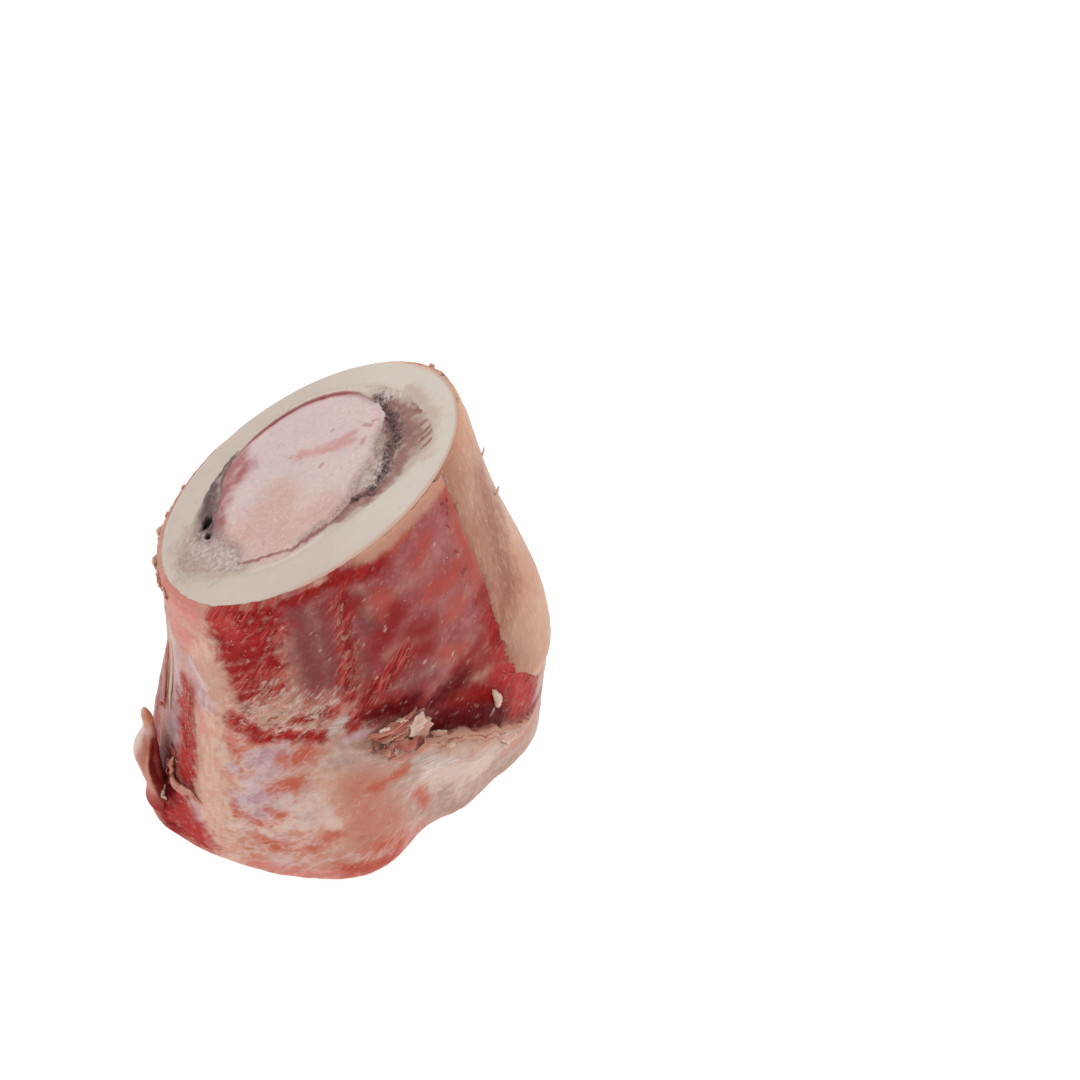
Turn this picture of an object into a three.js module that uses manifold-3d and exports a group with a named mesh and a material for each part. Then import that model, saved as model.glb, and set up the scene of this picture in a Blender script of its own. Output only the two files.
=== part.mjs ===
// A raw beef marrow bone: a short length of leg bone, sawn through at both ends, standing on its wide end.
// Millimetres, +Z up. The origin is on the floor, under the middle of the whole piece. The meaty front
// faces -Y, and the upper saw cut slopes up towards +X. From the inside out there is marrow, spongy bone,
// the hard wall, and a covering of meat and sinew with a sheet of fat let into it on the right.
import * as THREE from "three";
import { mergeVertices } from "three/addons/utils/BufferGeometryUtils.js";
import Module from "manifold-3d";

const wasm = await Module();
wasm.setup();

// The sawn shaft
const shaftWidth = 59.5; // long way across the oval shaft at the upper cut
const shaftDepth = 57; // short way across it
const shaftTurn = 24; // degrees from +X to the long way
const cutMiddle = new THREE.Vector3(-6.3, 3.8, 71); // middle of the upper cut, from the middle of the foot
const cutSlope = 0.57; // rise of the upper cut for each millimetre towards +X
const footWidth = 77;
const footDepth = 73;
const footTurn = 10;
const wall = 6.7; // hard wall at its usual thickness
const spongy = 0.8; // spongy bone where no form swells it
const film = 1.2; // meat where no form swells it
const thinnestMeat = 0.8;
const fat = 1.3;
const clearance = 0.3; // left between one tissue and the next

// Directions round the bone are in degrees from +X, so the front is 270. A rise is 0 at the floor and 1 at
// the upper cut. A form swells (+) or hollows (-) a surface round one place, and fades over its spans.
const form = (toward, rise, across, along, out) => ({ toward, rise, across, along, out });
const allRound = 400; // degrees, a span so wide that a form reaches all the way round

const boneForms = [
  form(303, 0, 19, 0.36, -8.6), // flat facets under the front right
  form(335, 0, 24, 0.3, -8),
  form(5, 0.36, 30, 0.24, 3.4), // right corner of the flare
  form(205, 0, 30, 0.3, 2), // left corner of the foot
  form(190, 0.45, 34, 0.24, -1.8), // straight left side above it
  form(232, 0.45, 14, 0.5, 1.2), // soft ridge down the front left
  form(322, 0.46, 26, 0.14, -2.6), // hollow above the facets
  form(110, 0.15, 40, 0.4, 2.5), // rounded swelling at the back
];

const wallForms = [
  form(292, 1, 42, 0.7, 4.2), // thick front of the shaft
  form(100, 1, 40, 0.7, -2), // thin back
  form(200, 1, 15, 0.5, -4.6), // spongy bone reaches nearly through at the left
  form(355, 1, 14, 0.6, -2.2), // and part of the way at the right
  form(270, 0, allRound, 0.5, -3.2), // thinner all round towards the foot
];

const spongyForms = [
  form(354, 1, 42, 0.8, 9.6), // crumbly pocket beside the marrow at the right
  form(204, 1, 25, 0.6, 6.6), // pocket at the lower left
  form(165, 1, 14, 0.5, 1.4), // thin tail of that pocket
  form(270, 0, allRound, 0.5, 8), // spongy bone fills in towards the foot
];

const meatForms = [
  form(243, 0.84, 15, 0.18, 0.9), // band of red muscle below the rim
  form(280, 0.78, 4, 0.16, 0.6), // narrow ragged strip down the front
  form(256, 0.62, 15, 0.09, 1.3), // ragged pale muscle at mid height
  form(302, 0.3, 15, 0.055, 1.7), // sinew swells below its torn edge, which slopes down to the right
  form(320, 0.24, 14, 0.055, 2.2),
  form(340, 0.17, 14, 0.055, 2),
  form(322, 0.41, 18, 0.07, -0.8), // dark hollow above the torn edge
  form(305, 0.12, 26, 0.14, 0.9), // broad sinew over the foot
  form(250, 0.38, 18, 0.17, 0.8), // mottled flank
  form(227, 0.34, 6, 0.34, 0.6), // pale strip down the front left
  form(197, 0.44, 7, 0.16, 0.7), // silvery sinew down the left
  form(204, 0.17, 6, 0.09, -0.8), // groove behind the flap
  form(209, 0, 15, 0.1, 2.6), // muscle at the foot of the flap
  form(150, 0.4, 30, 0.4, 1.6), // muscle round the back
  form(95, 0.25, 24, 0.3, 2),
  form(60, 0.6, 18, 0.3, 1),
  form(85, 1, 60, 0.2, -0.6), // scraped thin below the cut at the back
];

const fatForms = [form(5, 0.36, 22, 0.3, 0.6)]; // fullest over the corner of the flare
const fatRises = [0.26, 0.994];
const fatFront = [-15, -29]; // its front edge, at its foot and at the upper cut
const fatBack = [42, 32];

// A flap of meat and sinew peels off the foot at the left and stands up beside it.
const flapToward = 204; // the way its flat side faces
const flapStations = [
  { x: -38.8, y: -19, z: 0.7, width: 9, thickness: 4.4 },
  { x: -39, y: -17.2, z: 6, width: 7.6, thickness: 3.6 },
  { x: -40.4, y: -15.8, z: 13, width: 9, thickness: 5 },
  { x: -39.6, y: -14.4, z: 19.4, width: 4.8, thickness: 2.4 },
  { x: -40.3, y: -13.4, z: 24.2, width: 4, thickness: 2.2 },
];

// A torn crest of fat stands up from the upper edge of the sinew, highest at its peak.
const crestFrom = { toward: 277, rise: 0.475 };
const crestTo = { toward: 315, rise: 0.315 };
const crestColumns = 22;
const crestPeak = { column: 12, height: 6.5 };
const crestHeights = [1.4, 4.4]; // least and most, away from the peak
const crestLean = 2.4; // how far its top leans out
const crestRoot = 0.5; // how deep it stands in the meat
const crestThickness = 1.5;
const crestSeed = 11;

const rad = THREE.MathUtils.degToRad;
const { lerp } = THREE.MathUtils;
const gap = (a, b) => Math.abs(THREE.MathUtils.euclideanModulo(a - b + 180, 360) - 180);
const ease = (t) => t * t * (3 - 2 * t);

// How far a list of forms moves a surface at one place.
function swell(forms, toward, rise) {
  return forms.reduce((sum, f) => {
    const reach = (gap(toward, f.toward) / f.across) ** 2 + ((rise - f.rise) / f.along) ** 2;
    return sum + f.out * Math.exp(-reach);
  }, 0);
}

// Radius of an oval in one direction.
function oval(width, depth, turn, toward) {
  const a = rad(toward - turn);
  return 1 / Math.hypot(Math.cos(a) / (width / 2), Math.sin(a) / (depth / 2));
}

// The bone's own radius: wide at the foot, and narrower above its waist.
function boneRadius(toward, rise) {
  const foot = oval(footWidth, footDepth, footTurn, toward);
  const shaft = oval(shaftWidth, shaftDepth, shaftTurn, toward);
  return lerp(foot, shaft, ease(rise) ** 1.15) + swell(boneForms, toward, rise);
}

// The point that lies `out` from the bone's own surface, at a share of its radius.
function place(toward, rise, out, share = 1) {
  const r = (boneRadius(toward, rise) + out) * share;
  const x = cutMiddle.x * rise ** 2 + r * Math.cos(rad(toward));
  const y = cutMiddle.y * rise ** 2 + r * Math.sin(rad(toward));
  return new THREE.Vector3(x, y, rise * (cutMiddle.z + cutSlope * (x - cutMiddle.x)));
}

// Depths of the surfaces between the tissues, out from the bone's own surface.
const boneOut = () => 0;
const wallIn = (toward, rise) => -wall - swell(wallForms, toward, rise);
const spongyOut = (toward, rise) => wallIn(toward, rise) - clearance;
const spongyIn = (toward, rise) => spongyOut(toward, rise) - spongy - swell(spongyForms, toward, rise);
const marrowOut = (toward, rise) => spongyIn(toward, rise) - clearance;
const coverIn = () => clearance;
const meatOut = (toward, rise) => clearance + Math.max(thinnestMeat, film + swell(meatForms, toward, rise));
const fatOut = (toward, rise) => clearance + fat + swell(fatForms, toward, rise);

const sides = 60; // faces round each surface
const rows = 10; // faces up it, on all but the meat's outside
const meatRows = 24;
const cutInset = 0.006; // rise by which soft tissue stays back from the two cuts

// A three.js geometry with every vertex moved by `to`, closed and facing out.
function bend(geometry, to) {
  const point = new THREE.Vector3();
  const position = geometry.getAttribute("position");
  for (let i = 0; i < position.count; i++) {
    point.fromBufferAttribute(position, i);
    position.setXYZ(i, ...to(point).toArray());
  }
  geometry.deleteAttribute("normal");
  geometry.deleteAttribute("uv");
  return facingOut(mergeVertices(geometry, 1e-3));
}

// Turns every triangle over if the geometry is inside out.
function facingOut(geometry) {
  const position = geometry.getAttribute("position");
  const index = geometry.index.array;
  const [a, b, c] = [0, 1, 2].map(() => new THREE.Vector3());
  let volume = 0;
  for (let i = 0; i < index.length; i += 3) {
    [a, b, c].forEach((corner, n) => corner.fromBufferAttribute(position, index[i + n]));
    volume += a.dot(b.cross(c));
  }
  if (volume < 0) {
    for (let i = 0; i < index.length; i += 3) {
      [index[i + 1], index[i + 2]] = [index[i + 2], index[i + 1]];
    }
  }
  return geometry;
}

// Rises from one to another in even steps.
const evenly = (count, from = 0, to = 1) =>
  Array.from({ length: count + 1 }, (_, i) => lerp(from, to, i / count));

// A tube of tissue between two surfaces. A closed profile is turned round the bone: in it, x is 1 on the
// inner surface and 2 on the outer one, and y is the rise.
function tube(inner, outer, innerRises, outerRises = innerRises) {
  const up = outerRises.map((rise) => new THREE.Vector2(2, rise));
  const down = innerRises.map((rise) => new THREE.Vector2(1, rise)).reverse();
  const profile = new THREE.LatheGeometry([...up, ...down, up[0]], sides);
  return bend(profile, (p) => {
    const toward = THREE.MathUtils.radToDeg(Math.atan2(p.x, p.z));
    const out = Math.hypot(p.x, p.z) > 1.5 ? outer : inner;
    return place(toward, p.y, out(toward, p.y));
  });
}

// A core that fills the bone up to a surface.
function core(outer, from, to) {
  const cylinder = new THREE.CylinderGeometry(1, 1, 1, sides, rows);
  return bend(cylinder, (p) => {
    const toward = THREE.MathUtils.radToDeg(Math.atan2(p.x, p.z));
    const rise = lerp(from, to, p.y + 0.5);
    return place(toward, rise, outer(toward, rise), Math.min(1, Math.hypot(p.x, p.z)));
  });
}

// A sheet between two surfaces and two edges, whose directions shift with the rise. It can be made
// larger all round by a margin of so many millimetres.
function sheet(inner, outer, rises, front, back, margin = 0) {
  const box = new THREE.BoxGeometry(1, 1, 1, 12, 1, rows);
  return bend(box, (p) => {
    const rise = lerp(rises[0] - margin / cutMiddle.z, rises[1] + margin / cutMiddle.z, p.z + 0.5);
    const share = THREE.MathUtils.mapLinear(rise, ...rises, 0, 1);
    const aside = THREE.MathUtils.radToDeg(margin / boneRadius(0, rise));
    const toward = lerp(lerp(...front, share) - aside, lerp(...back, share) + aside, p.x + 0.5);
    return place(toward, rise, p.y > 0 ? outer(toward, rise) : inner(toward, rise));
  });
}

// The flap is a cylinder with its axis laid along the stations, and its section an oval at each.
function flap() {
  const last = flapStations.length - 1;
  const axis = new THREE.CatmullRomCurve3(flapStations.map(({ x, y, z }) => new THREE.Vector3(x, y, z)));
  const sizes = new THREE.CatmullRomCurve3(
    flapStations.map(({ width, thickness }) => new THREE.Vector3(width, thickness, 0)),
  );
  const outward = new THREE.Vector3(Math.cos(rad(flapToward)), Math.sin(rad(flapToward)), 0);
  const sideways = new THREE.Vector3(-outward.y, outward.x, 0);
  const cylinder = new THREE.CylinderGeometry(1, 1, 1, 12, last * 3);
  return bend(cylinder, (p) => {
    const size = sizes.getPoint(p.y + 0.5);
    return axis
      .getPoint(p.y + 0.5)
      .addScaledVector(outward, (p.z * size.y) / 2)
      .addScaledVector(sideways, (p.x * size.x) / 2);
  });
}

// Numbers from 0 to 1 that look random but are the same each time.
function* randoms(seed) {
  let state = seed;
  for (;;) {
    state = (state * 16807) % 2147483647;
    yield state / 2147483647;
  }
}

// The crest is a box bent along the sinew's edge, with each column torn off at a height of its own.
function crest() {
  const random = randoms(crestSeed);
  const heights = Array.from({ length: crestColumns + 1 }, (_, column) => {
    const peak = crestPeak.height * Math.exp(-(((column - crestPeak.column) / 2) ** 2));
    return lerp(...crestHeights, random.next().value) + peak;
  });
  const box = new THREE.BoxGeometry(1, 1, 1, crestColumns, 1, 3);
  return bend(box, (p) => {
    const share = p.x + 0.5;
    const up = p.z + 0.5;
    const toward = lerp(crestFrom.toward, crestTo.toward, share);
    const height = heights[Math.round(share * crestColumns)];
    const rise = lerp(crestFrom.rise, crestTo.rise, share) + (up * height) / cutMiddle.z;
    const front = p.y > 0 ? crestThickness * (1 - 0.5 * up) : 0;
    return place(toward, rise, meatOut(toward, rise) - crestRoot + crestLean * up + front);
  });
}

function solid(geometry) {
  const vertProperties = new Float32Array(geometry.getAttribute("position").array);
  const triVerts = new Uint32Array(geometry.index.array);
  return new wasm.Manifold(new wasm.Mesh({ numProp: 3, vertProperties, triVerts }));
}

function surface(body) {
  const { vertProperties, triVerts } = body.getMesh();
  const geometry = new THREE.BufferGeometry();
  geometry.setAttribute("position", new THREE.BufferAttribute(new Float32Array(vertProperties), 3));
  geometry.setIndex(Array.from(triVerts));
  return geometry;
}

// The meat goes all round the bone, apart from a bed for the fat, with the flap and the crest grown on.
function meat() {
  const meatRises = (count) => evenly(count, cutInset, 1 - cutInset);
  const cover = tube(coverIn, meatOut, meatRises(rows), meatRises(meatRows));
  const through = (away) => () => away;
  const bed = sheet(through(-1), through(6), fatRises, fatFront, fatBack, clearance);
  return surface(solid(cover).subtract(solid(bed)).add(solid(flap())).add(solid(crest())));
}

const group = new THREE.Group();
function add(name, geometry, color, roughness) {
  const mesh = new THREE.Mesh(geometry, new THREE.MeshStandardMaterial({ color, roughness }));
  mesh.name = name;
  group.add(mesh);
}

add("hard_bone", tube(wallIn, boneOut, evenly(rows)), 0xe6dccb, 0.55);
const innerRises = [cutInset, 0.998];
add("spongy_bone", tube(spongyIn, spongyOut, evenly(rows, ...innerRises)), 0xb9a196, 0.85);
add("marrow", core(marrowOut, ...innerRises), 0xe3bdb4, 0.5);
add("meat", meat(), 0xa8443f, 0.4);
add("side_fat", sheet(coverIn, fatOut, fatRises, fatFront, fatBack), 0xd2a184, 0.5);

// The shapes above stand round the middle of the foot, and are moved to stand round the middle of it all.
const middle = new THREE.Box3().setFromObject(group).getCenter(new THREE.Vector3());
for (const { geometry } of group.children) {
  geometry.translate(-middle.x, -middle.y, 0);
  geometry.computeVertexNormals();
}

export default group;
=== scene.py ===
import math
import random

import bmesh
import bpy
import numpy as np
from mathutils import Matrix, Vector, noise


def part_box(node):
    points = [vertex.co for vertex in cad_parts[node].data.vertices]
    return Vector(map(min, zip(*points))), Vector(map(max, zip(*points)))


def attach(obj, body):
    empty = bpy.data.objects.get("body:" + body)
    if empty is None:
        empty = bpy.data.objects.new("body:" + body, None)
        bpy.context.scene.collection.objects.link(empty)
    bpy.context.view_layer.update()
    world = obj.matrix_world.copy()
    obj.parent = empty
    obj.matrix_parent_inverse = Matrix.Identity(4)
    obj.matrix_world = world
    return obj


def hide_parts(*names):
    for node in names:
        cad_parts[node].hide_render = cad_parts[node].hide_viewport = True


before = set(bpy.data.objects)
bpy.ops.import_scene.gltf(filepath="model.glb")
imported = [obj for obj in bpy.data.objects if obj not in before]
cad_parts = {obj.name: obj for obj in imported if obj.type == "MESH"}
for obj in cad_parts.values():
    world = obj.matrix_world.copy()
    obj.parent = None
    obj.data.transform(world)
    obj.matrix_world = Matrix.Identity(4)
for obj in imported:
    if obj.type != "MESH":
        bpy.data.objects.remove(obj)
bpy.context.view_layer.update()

# The photographer's table
# A raw beef marrow bone stands on a white table in soft light from all round, seen from 45 degrees above
# its meaty front. One pixel of the photograph is 0.2 mm at the distance of the bone.
MM = 0.001
camera_distance = 750 * MM
camera_rise = math.radians(45)
camera_aim = Vector((40.2, 7.4, 49.3)) * MM

bpy.ops.object.camera_add()
camera = bpy.context.object
camera.name = "camera"
camera.data.sensor_width = 36
camera.data.lens = 125
camera.location = camera_aim + camera_distance * Vector((0, -math.cos(camera_rise), math.sin(camera_rise)))
camera.rotation_euler = (math.pi / 2 - camera_rise, 0, 0)
bpy.context.scene.camera = camera


def softbox(name, place, width, watts):
    """A white square lamp in metres, turned to face the bone."""
    lamp = bpy.data.lights.new(name, "AREA")
    lamp.size = width
    lamp.energy = watts
    holder = bpy.data.objects.new(name, lamp)
    holder.location = place
    holder.rotation_euler = (camera_aim - Vector(place)).to_track_quat("-Z", "Y").to_euler()
    bpy.context.scene.collection.objects.link(holder)


softbox("lamp_overhead", (0.1, 0.3, 0.9), 0.6, 3.9)
softbox("lamp_left", (-0.8, 0.1, 0.5), 0.4, 1.3)
softbox("lamp_right", (0.85, 0.15, 0.45), 0.4, 1.7)
softbox("lamp_front", (-0.1, -0.7, 0.3), 0.5, 0.8)
softbox("lamp_glint", (-0.35, -0.4, 0.8), 0.06, 0.5)

world = bpy.data.worlds.new("white_room")
world.use_nodes = True
world.node_tree.nodes["Background"].inputs["Color"].default_value = (1, 1, 1, 1)
world.node_tree.nodes["Background"].inputs["Strength"].default_value = 0.36
bpy.context.scene.world = world
bpy.context.scene.view_settings.view_transform = "Standard"

bm = bmesh.new()
bmesh.ops.create_grid(bm, x_segments=1, y_segments=1, size=3)
floor_mesh = bpy.data.meshes.new("floor")
bm.to_mesh(floor_mesh)
bm.free()
floor = bpy.data.objects.new("floor", floor_mesh)
bpy.context.scene.collection.objects.link(floor)
floor_paint = bpy.data.materials.new("white_table")
floor_paint.use_nodes = True
floor_shader = floor_paint.node_tree.nodes["Principled BSDF"]
floor_shader.inputs["Base Color"].default_value = (0.4, 0.4, 0.4, 1)
floor_shader.inputs["Roughness"].default_value = 0.7
floor_shader.inputs["Emission Color"].default_value = (1, 1, 1, 1)
floor_shader.inputs["Emission Strength"].default_value = 0.82  # a light table, so shadows on it are faint
floor.data.materials.append(floor_paint)

# Hard bone
# The wall of the leg bone is ivory, and is sawn through above and below, so it shows as a ring at each
# cut. Sizes are in millimetres from the middle of the foot, directions in degrees from +X, and a rise
# goes from 0 at the foot to 1 at the sloping upper cut.
shaft_width = 59.5
shaft_depth = 57
shaft_turn = 24
cut_middle = (-6.3, 3.8, 71)
cut_slope = 0.57
foot_width = 77
foot_depth = 73
foot_turn = 10
wall = 6.7
clearance = 0.3
all_round = 400
# each form: direction, rise, degrees across, rise along, millimetres out
bone_forms = [
    (303, 0, 19, 0.36, -8.6),
    (335, 0, 24, 0.3, -8),
    (5, 0.36, 30, 0.24, 3.4),
    (205, 0, 30, 0.3, 2),
    (190, 0.45, 34, 0.24, -1.8),
    (232, 0.45, 14, 0.5, 1.2),
    (322, 0.46, 26, 0.14, -2.6),
    (110, 0.15, 40, 0.4, 2.5),
]
wall_forms = [
    (292, 1, 42, 0.7, 4.2),
    (100, 1, 40, 0.7, -2),
    (200, 1, 15, 0.5, -4.6),
    (355, 1, 14, 0.6, -2.2),
    (270, 0, all_round, 0.5, -3.2),
]
ring_round = 480  # faces round the wall
ring_across = 26  # faces across its cut
top_rise = 0.999  # points higher than this are on the upper cut
worn_down = 0.16  # the saw leaves both edges of the ring worn down a little
worn_width = 0.35


def ease(share):
    """Smooth step from 0 to 1, flat outside them."""
    share = np.clip(share, 0, 1)
    return share * share * (3 - 2 * share)


def turn_from(toward, direction):
    """Degrees from a direction round to each place, from -180 to 180."""
    return (toward - direction + 180) % 360 - 180


def swell(forms, toward, rise):
    """How far a list of forms moves a surface at each place."""
    total = np.zeros(np.broadcast(toward, rise).shape)
    for direction, height, across, along, out in forms:
        aside = turn_from(toward, direction)
        total += out * np.exp(-((aside / across) ** 2) - ((rise - height) / along) ** 2)
    return total


def oval(width, depth, turn, toward):
    """Radius of an oval in each direction."""
    angle = np.radians(toward - turn)
    return 1 / np.hypot(np.cos(angle) / (width / 2), np.sin(angle) / (depth / 2))


def bone_radius(toward, rise):
    """The bone's own radius, wide at the foot and narrower above its waist."""
    shaft_share = ease(rise) ** 1.15
    foot_oval = oval(foot_width, foot_depth, foot_turn, toward)
    shaft_oval = oval(shaft_width, shaft_depth, shaft_turn, toward)
    return foot_oval + (shaft_oval - foot_oval) * shaft_share + swell(bone_forms, toward, rise)


def place(toward, rise, out, share=1.0):
    """Points that lie out from the bone's own surface, at a share of their radius."""
    toward, rise, out = np.broadcast_arrays(np.asarray(toward, float), rise, out)
    radius = (bone_radius(toward, rise) + out) * share
    x = cut_middle[0] * rise**2 + radius * np.cos(np.radians(toward))
    y = cut_middle[1] * rise**2 + radius * np.sin(np.radians(toward))
    return np.stack([x, y, rise * (cut_middle[2] + cut_slope * (x - cut_middle[0]))], -1)


def wall_in(toward, rise):
    return -wall - swell(wall_forms, toward, rise)


# The frame's hard bone tells where the middle of the foot is
cad_toward, cad_rise = np.meshgrid(np.arange(0, 360, 6), np.linspace(0, 1, 11))
lowest = place(cad_toward, cad_rise, 0).reshape(-1, 3).min(0)
foot_middle = np.array(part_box("hard_bone")[0]) / MM - lowest
foot_middle[2] = 0


def lumps(points, size, octaves, seed):
    """Smooth noise of about -1 to 1 at each point, with bumps of a size in the points' own units."""
    spots = np.asarray(points, float) / size + 31.7 * seed
    return np.array([noise.fractal(spot, 0.6, 2, octaves) for spot in spots.tolist()])


def turned(corners, cuts, steps):
    """An outline of x and z turned round the Z axis, with so many cuts in each of its sides.

    With a count for each corner the outline closes on itself, and with one less it ends on the axis.
    """
    bm = bmesh.new()
    verts = [bm.verts.new((x, 0, z)) for x, z in corners]
    edges = [bm.edges.new(pair) for pair, _ in zip(zip(verts, verts[1:] + verts[:1]), cuts)]
    for edge, count in zip(edges, cuts):
        bmesh.ops.subdivide_edges(bm, edges=[edge], cuts=count)
    outline = bm.verts[:] + bm.edges[:]
    bmesh.ops.spin(bm, geom=outline, axis=(0, 0, 1), angle=2 * math.pi, steps=steps, use_merge=True)
    bmesh.ops.remove_doubles(bm, verts=bm.verts[:], dist=1e-5)
    bmesh.ops.recalc_face_normals(bm, faces=bm.faces[:])
    return bm


def shape(name, bm, bend=None):
    """An object made of a straight mesh, each point bent to its place in mm from the foot's middle."""
    mesh = bpy.data.meshes.new(name)
    bm.to_mesh(mesh)
    bm.free()
    straight = np.empty(len(mesh.vertices) * 3)
    mesh.vertices.foreach_get("co", straight)
    straight = straight.reshape(-1, 3)
    bent = bend(straight) if bend else straight
    mesh.vertices.foreach_set("co", ((bent + foot_middle) * MM).ravel())
    mesh.polygons.foreach_set("use_smooth", [True] * len(mesh.polygons))
    mesh.update()
    made = bpy.data.objects.new(name, mesh)
    bpy.context.scene.collection.objects.link(made)
    return made


def toward_of(across, up):
    """The direction in which each place lies, from 0 to 360 degrees."""
    return np.degrees(np.arctan2(up, across)) % 360


def polar(straight):
    """Direction, share across the wall from 0 to 1, and rise, of points on a turned outline."""
    toward = toward_of(straight[:, 0], straight[:, 1])
    return toward, np.hypot(straight[:, 0], straight[:, 1]) - 1, straight[:, 2]


def in_mm(piece):
    """A piece's points in millimetres from the middle of the foot."""
    return np.array([vert.co for vert in piece.data.vertices]) / MM - foot_middle


def paint(piece, name, values):
    """One number for each point of a piece, which its material reads."""
    layer = piece.data.attributes.new(name, "FLOAT", "POINT")
    layer.data.foreach_set("value", np.asarray(values, np.float32))


def as_points(across, up):
    """Places on a flat map as points, for a noise."""
    return np.stack([across, up, np.zeros(len(up))], -1)


def marks(strokes, across, up, ragged, size, seed):
    """How deep each point lies in any of the strokes: 0.5 on a stroke's edge and 1 on its middle line.

    A stroke runs from one place to another and has a half width. The points and strokes share units.
    """
    depth = np.full(len(across), -1.0)
    for start_across, start_up, end_across, end_up, half in strokes:
        run_across, run_up = end_across - start_across, end_up - start_up
        along = (across - start_across) * run_across + (up - start_up) * run_up
        share = np.clip(along / (run_across**2 + run_up**2 + 1e-9), 0, 1)
        away = np.hypot(across - start_across - share * run_across, up - start_up - share * run_up)
        depth = np.maximum(depth, 1 - away / half)
    frayed = depth + ragged * lumps(as_points(across, up), size, 3, seed)
    return np.clip(0.5 + 0.5 * frayed, 0, 1)


def on_cut(strokes):
    """Strokes given by direction and radius on the upper cut, as strokes in millimetres."""
    made = []
    for start_toward, start_radius, end_toward, end_radius, half in strokes:
        start = start_radius * np.exp(1j * math.radians(start_toward))
        end = end_radius * np.exp(1j * math.radians(end_toward))
        made.append((start.real, start.imag, end.real, end.imag, half))
    return made


def from_cut_middle(points):
    """How far points lie from the middle of the upper cut, in plan."""
    return points[:, 0] - cut_middle[0], points[:, 1] - cut_middle[1]


def stain(piece, stains):
    """Paint strokes on the upper cut.

    Each stain has a name, how ragged its edge is, the size of that raggedness, a seed and its strokes.
    """
    across, up = from_cut_middle(in_mm(piece))
    for name, ragged, size, seed, strokes in stains:
        paint(piece, name, marks(on_cut(strokes), across, up, ragged, size, seed))


def bend_wall(straight):
    toward, share, rise = polar(straight)
    inner = wall_in(toward, rise)
    points = place(toward, rise, inner * (1 - share))
    near_inside = ease(1 - share * 4)
    torn = 0.35 * lumps(points, 2.2, 3, 1) * near_inside
    points = place(toward, rise, (inner + torn) * (1 - share))
    from_edge = np.minimum(share, 1 - share) * np.abs(inner)
    on_top = rise > top_rise
    points[on_top, 2] -= worn_down * (1 - ease(from_edge[on_top] / worn_width))
    points[on_top, 2] += 0.03 * lumps(points[on_top], 3, 2, 2)
    return points


bm = turned([(1, 0), (2, 0), (2, 1), (1, 1)], [8, 24, ring_across, 10], ring_round)
toward, share, rise = polar(np.array([v.co for v in bm.verts]))
hard_bone = shape("bone_wall", bm, bend_wall)
hard_bone.data.set_sharp_from_angle(angle=math.radians(60))
# the wall glows warm where it is thin at its outer edge, and is painted lighter towards the right, painted
# light
to_right = np.cos(np.radians(toward - 340))
paint(hard_bone, "edge", ease(1 - (1 - share) * 5.5) * (0.25 + 0.75 * ease(to_right * 2)))
paint(hard_bone, "inner", ease(1 - share * 4.5))
paint(hard_bone, "pale", ease(np.cos(np.radians(toward - 5)) * 1.4))
# grey grain where the wall is thin, and the marrow's stain along its inner edge
stain(hard_bone, [
    ("tan", 0.5, 2, 4, [(35, 24.5, 10, 25, 1.4), (10, 25, 345, 24, 1.6), (345, 22.5, 335, 20.5, 1.2)]),
    ("grain", 0.5, 2, 5, [(186, 23.5, 206, 24.8, 3.2), (206, 24.4, 222, 22.5, 2.2), (222, 22, 250, 20, 1.2)]),
    ("grey", 0.4, 2, 6, [(172, 22.2, 188, 22, 0.8)]),
])


class Wire:
    """A socket in a material. Arithmetic written with it adds Math nodes beside it."""

    def __init__(self, socket):
        self.socket = socket

    def node(self, kind, settings, sockets=None, out=0):
        """Add a node of a kind: its settings are set first, then the values or links of its sockets."""
        tree = self.socket.id_data
        made = tree.nodes.new("ShaderNode" + kind)
        for name, value in settings.items():
            setattr(made, name, value)
        for name, value in (sockets or {}).items():
            socket = made.inputs[name] if isinstance(name, int) else shown(made.inputs, name)
            if isinstance(value, Wire):
                tree.links.new(value.socket, socket)
            else:
                socket.default_value = value
        return Wire(made.outputs[out] if isinstance(out, int) else shown(made.outputs, out))

    def math(self, operation, other, turned_round=False):
        pair = (other, self) if turned_round else (self, other)
        return self.node("Math", {"operation": operation}, {0: pair[0], 1: pair[1]})

    def __add__(self, other):
        return self.math("ADD", other)

    def __sub__(self, other):
        return self.math("SUBTRACT", other)

    def __mul__(self, other):
        return self.math("MULTIPLY", other)

    def __rsub__(self, other):
        return self.math("SUBTRACT", other, True)

    __radd__ = __add__
    __rmul__ = __mul__

    def clipped(self, low, high):
        """Goes smoothly from 0 at low to 1 at high."""
        ends = {"Value": self, "From Min": low, "From Max": high}
        return self.node("MapRange", {"interpolation_type": "SMOOTHSTEP"}, ends)

    def mix(self, under, over):
        """Colours blended by this wire."""
        return self.node("Mix", {"data_type": "RGBA"}, {"Factor": self, "A": under, "B": over}, "Result")


def shown(sockets, name):
    """The socket of a name that is in use, as some nodes keep others for other kinds of data."""
    return next(s for s in sockets if s.name == name and s.enabled)


def tint(red, green, blue):
    """A colour as seen in the photograph, 0 to 255, for a shader."""
    levels = [level / 255 for level in (red, green, blue)]
    return (*[level / 12.92 if level < 0.04045 else ((level + 0.055) / 1.055) ** 2.4 for level in levels], 1)


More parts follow.
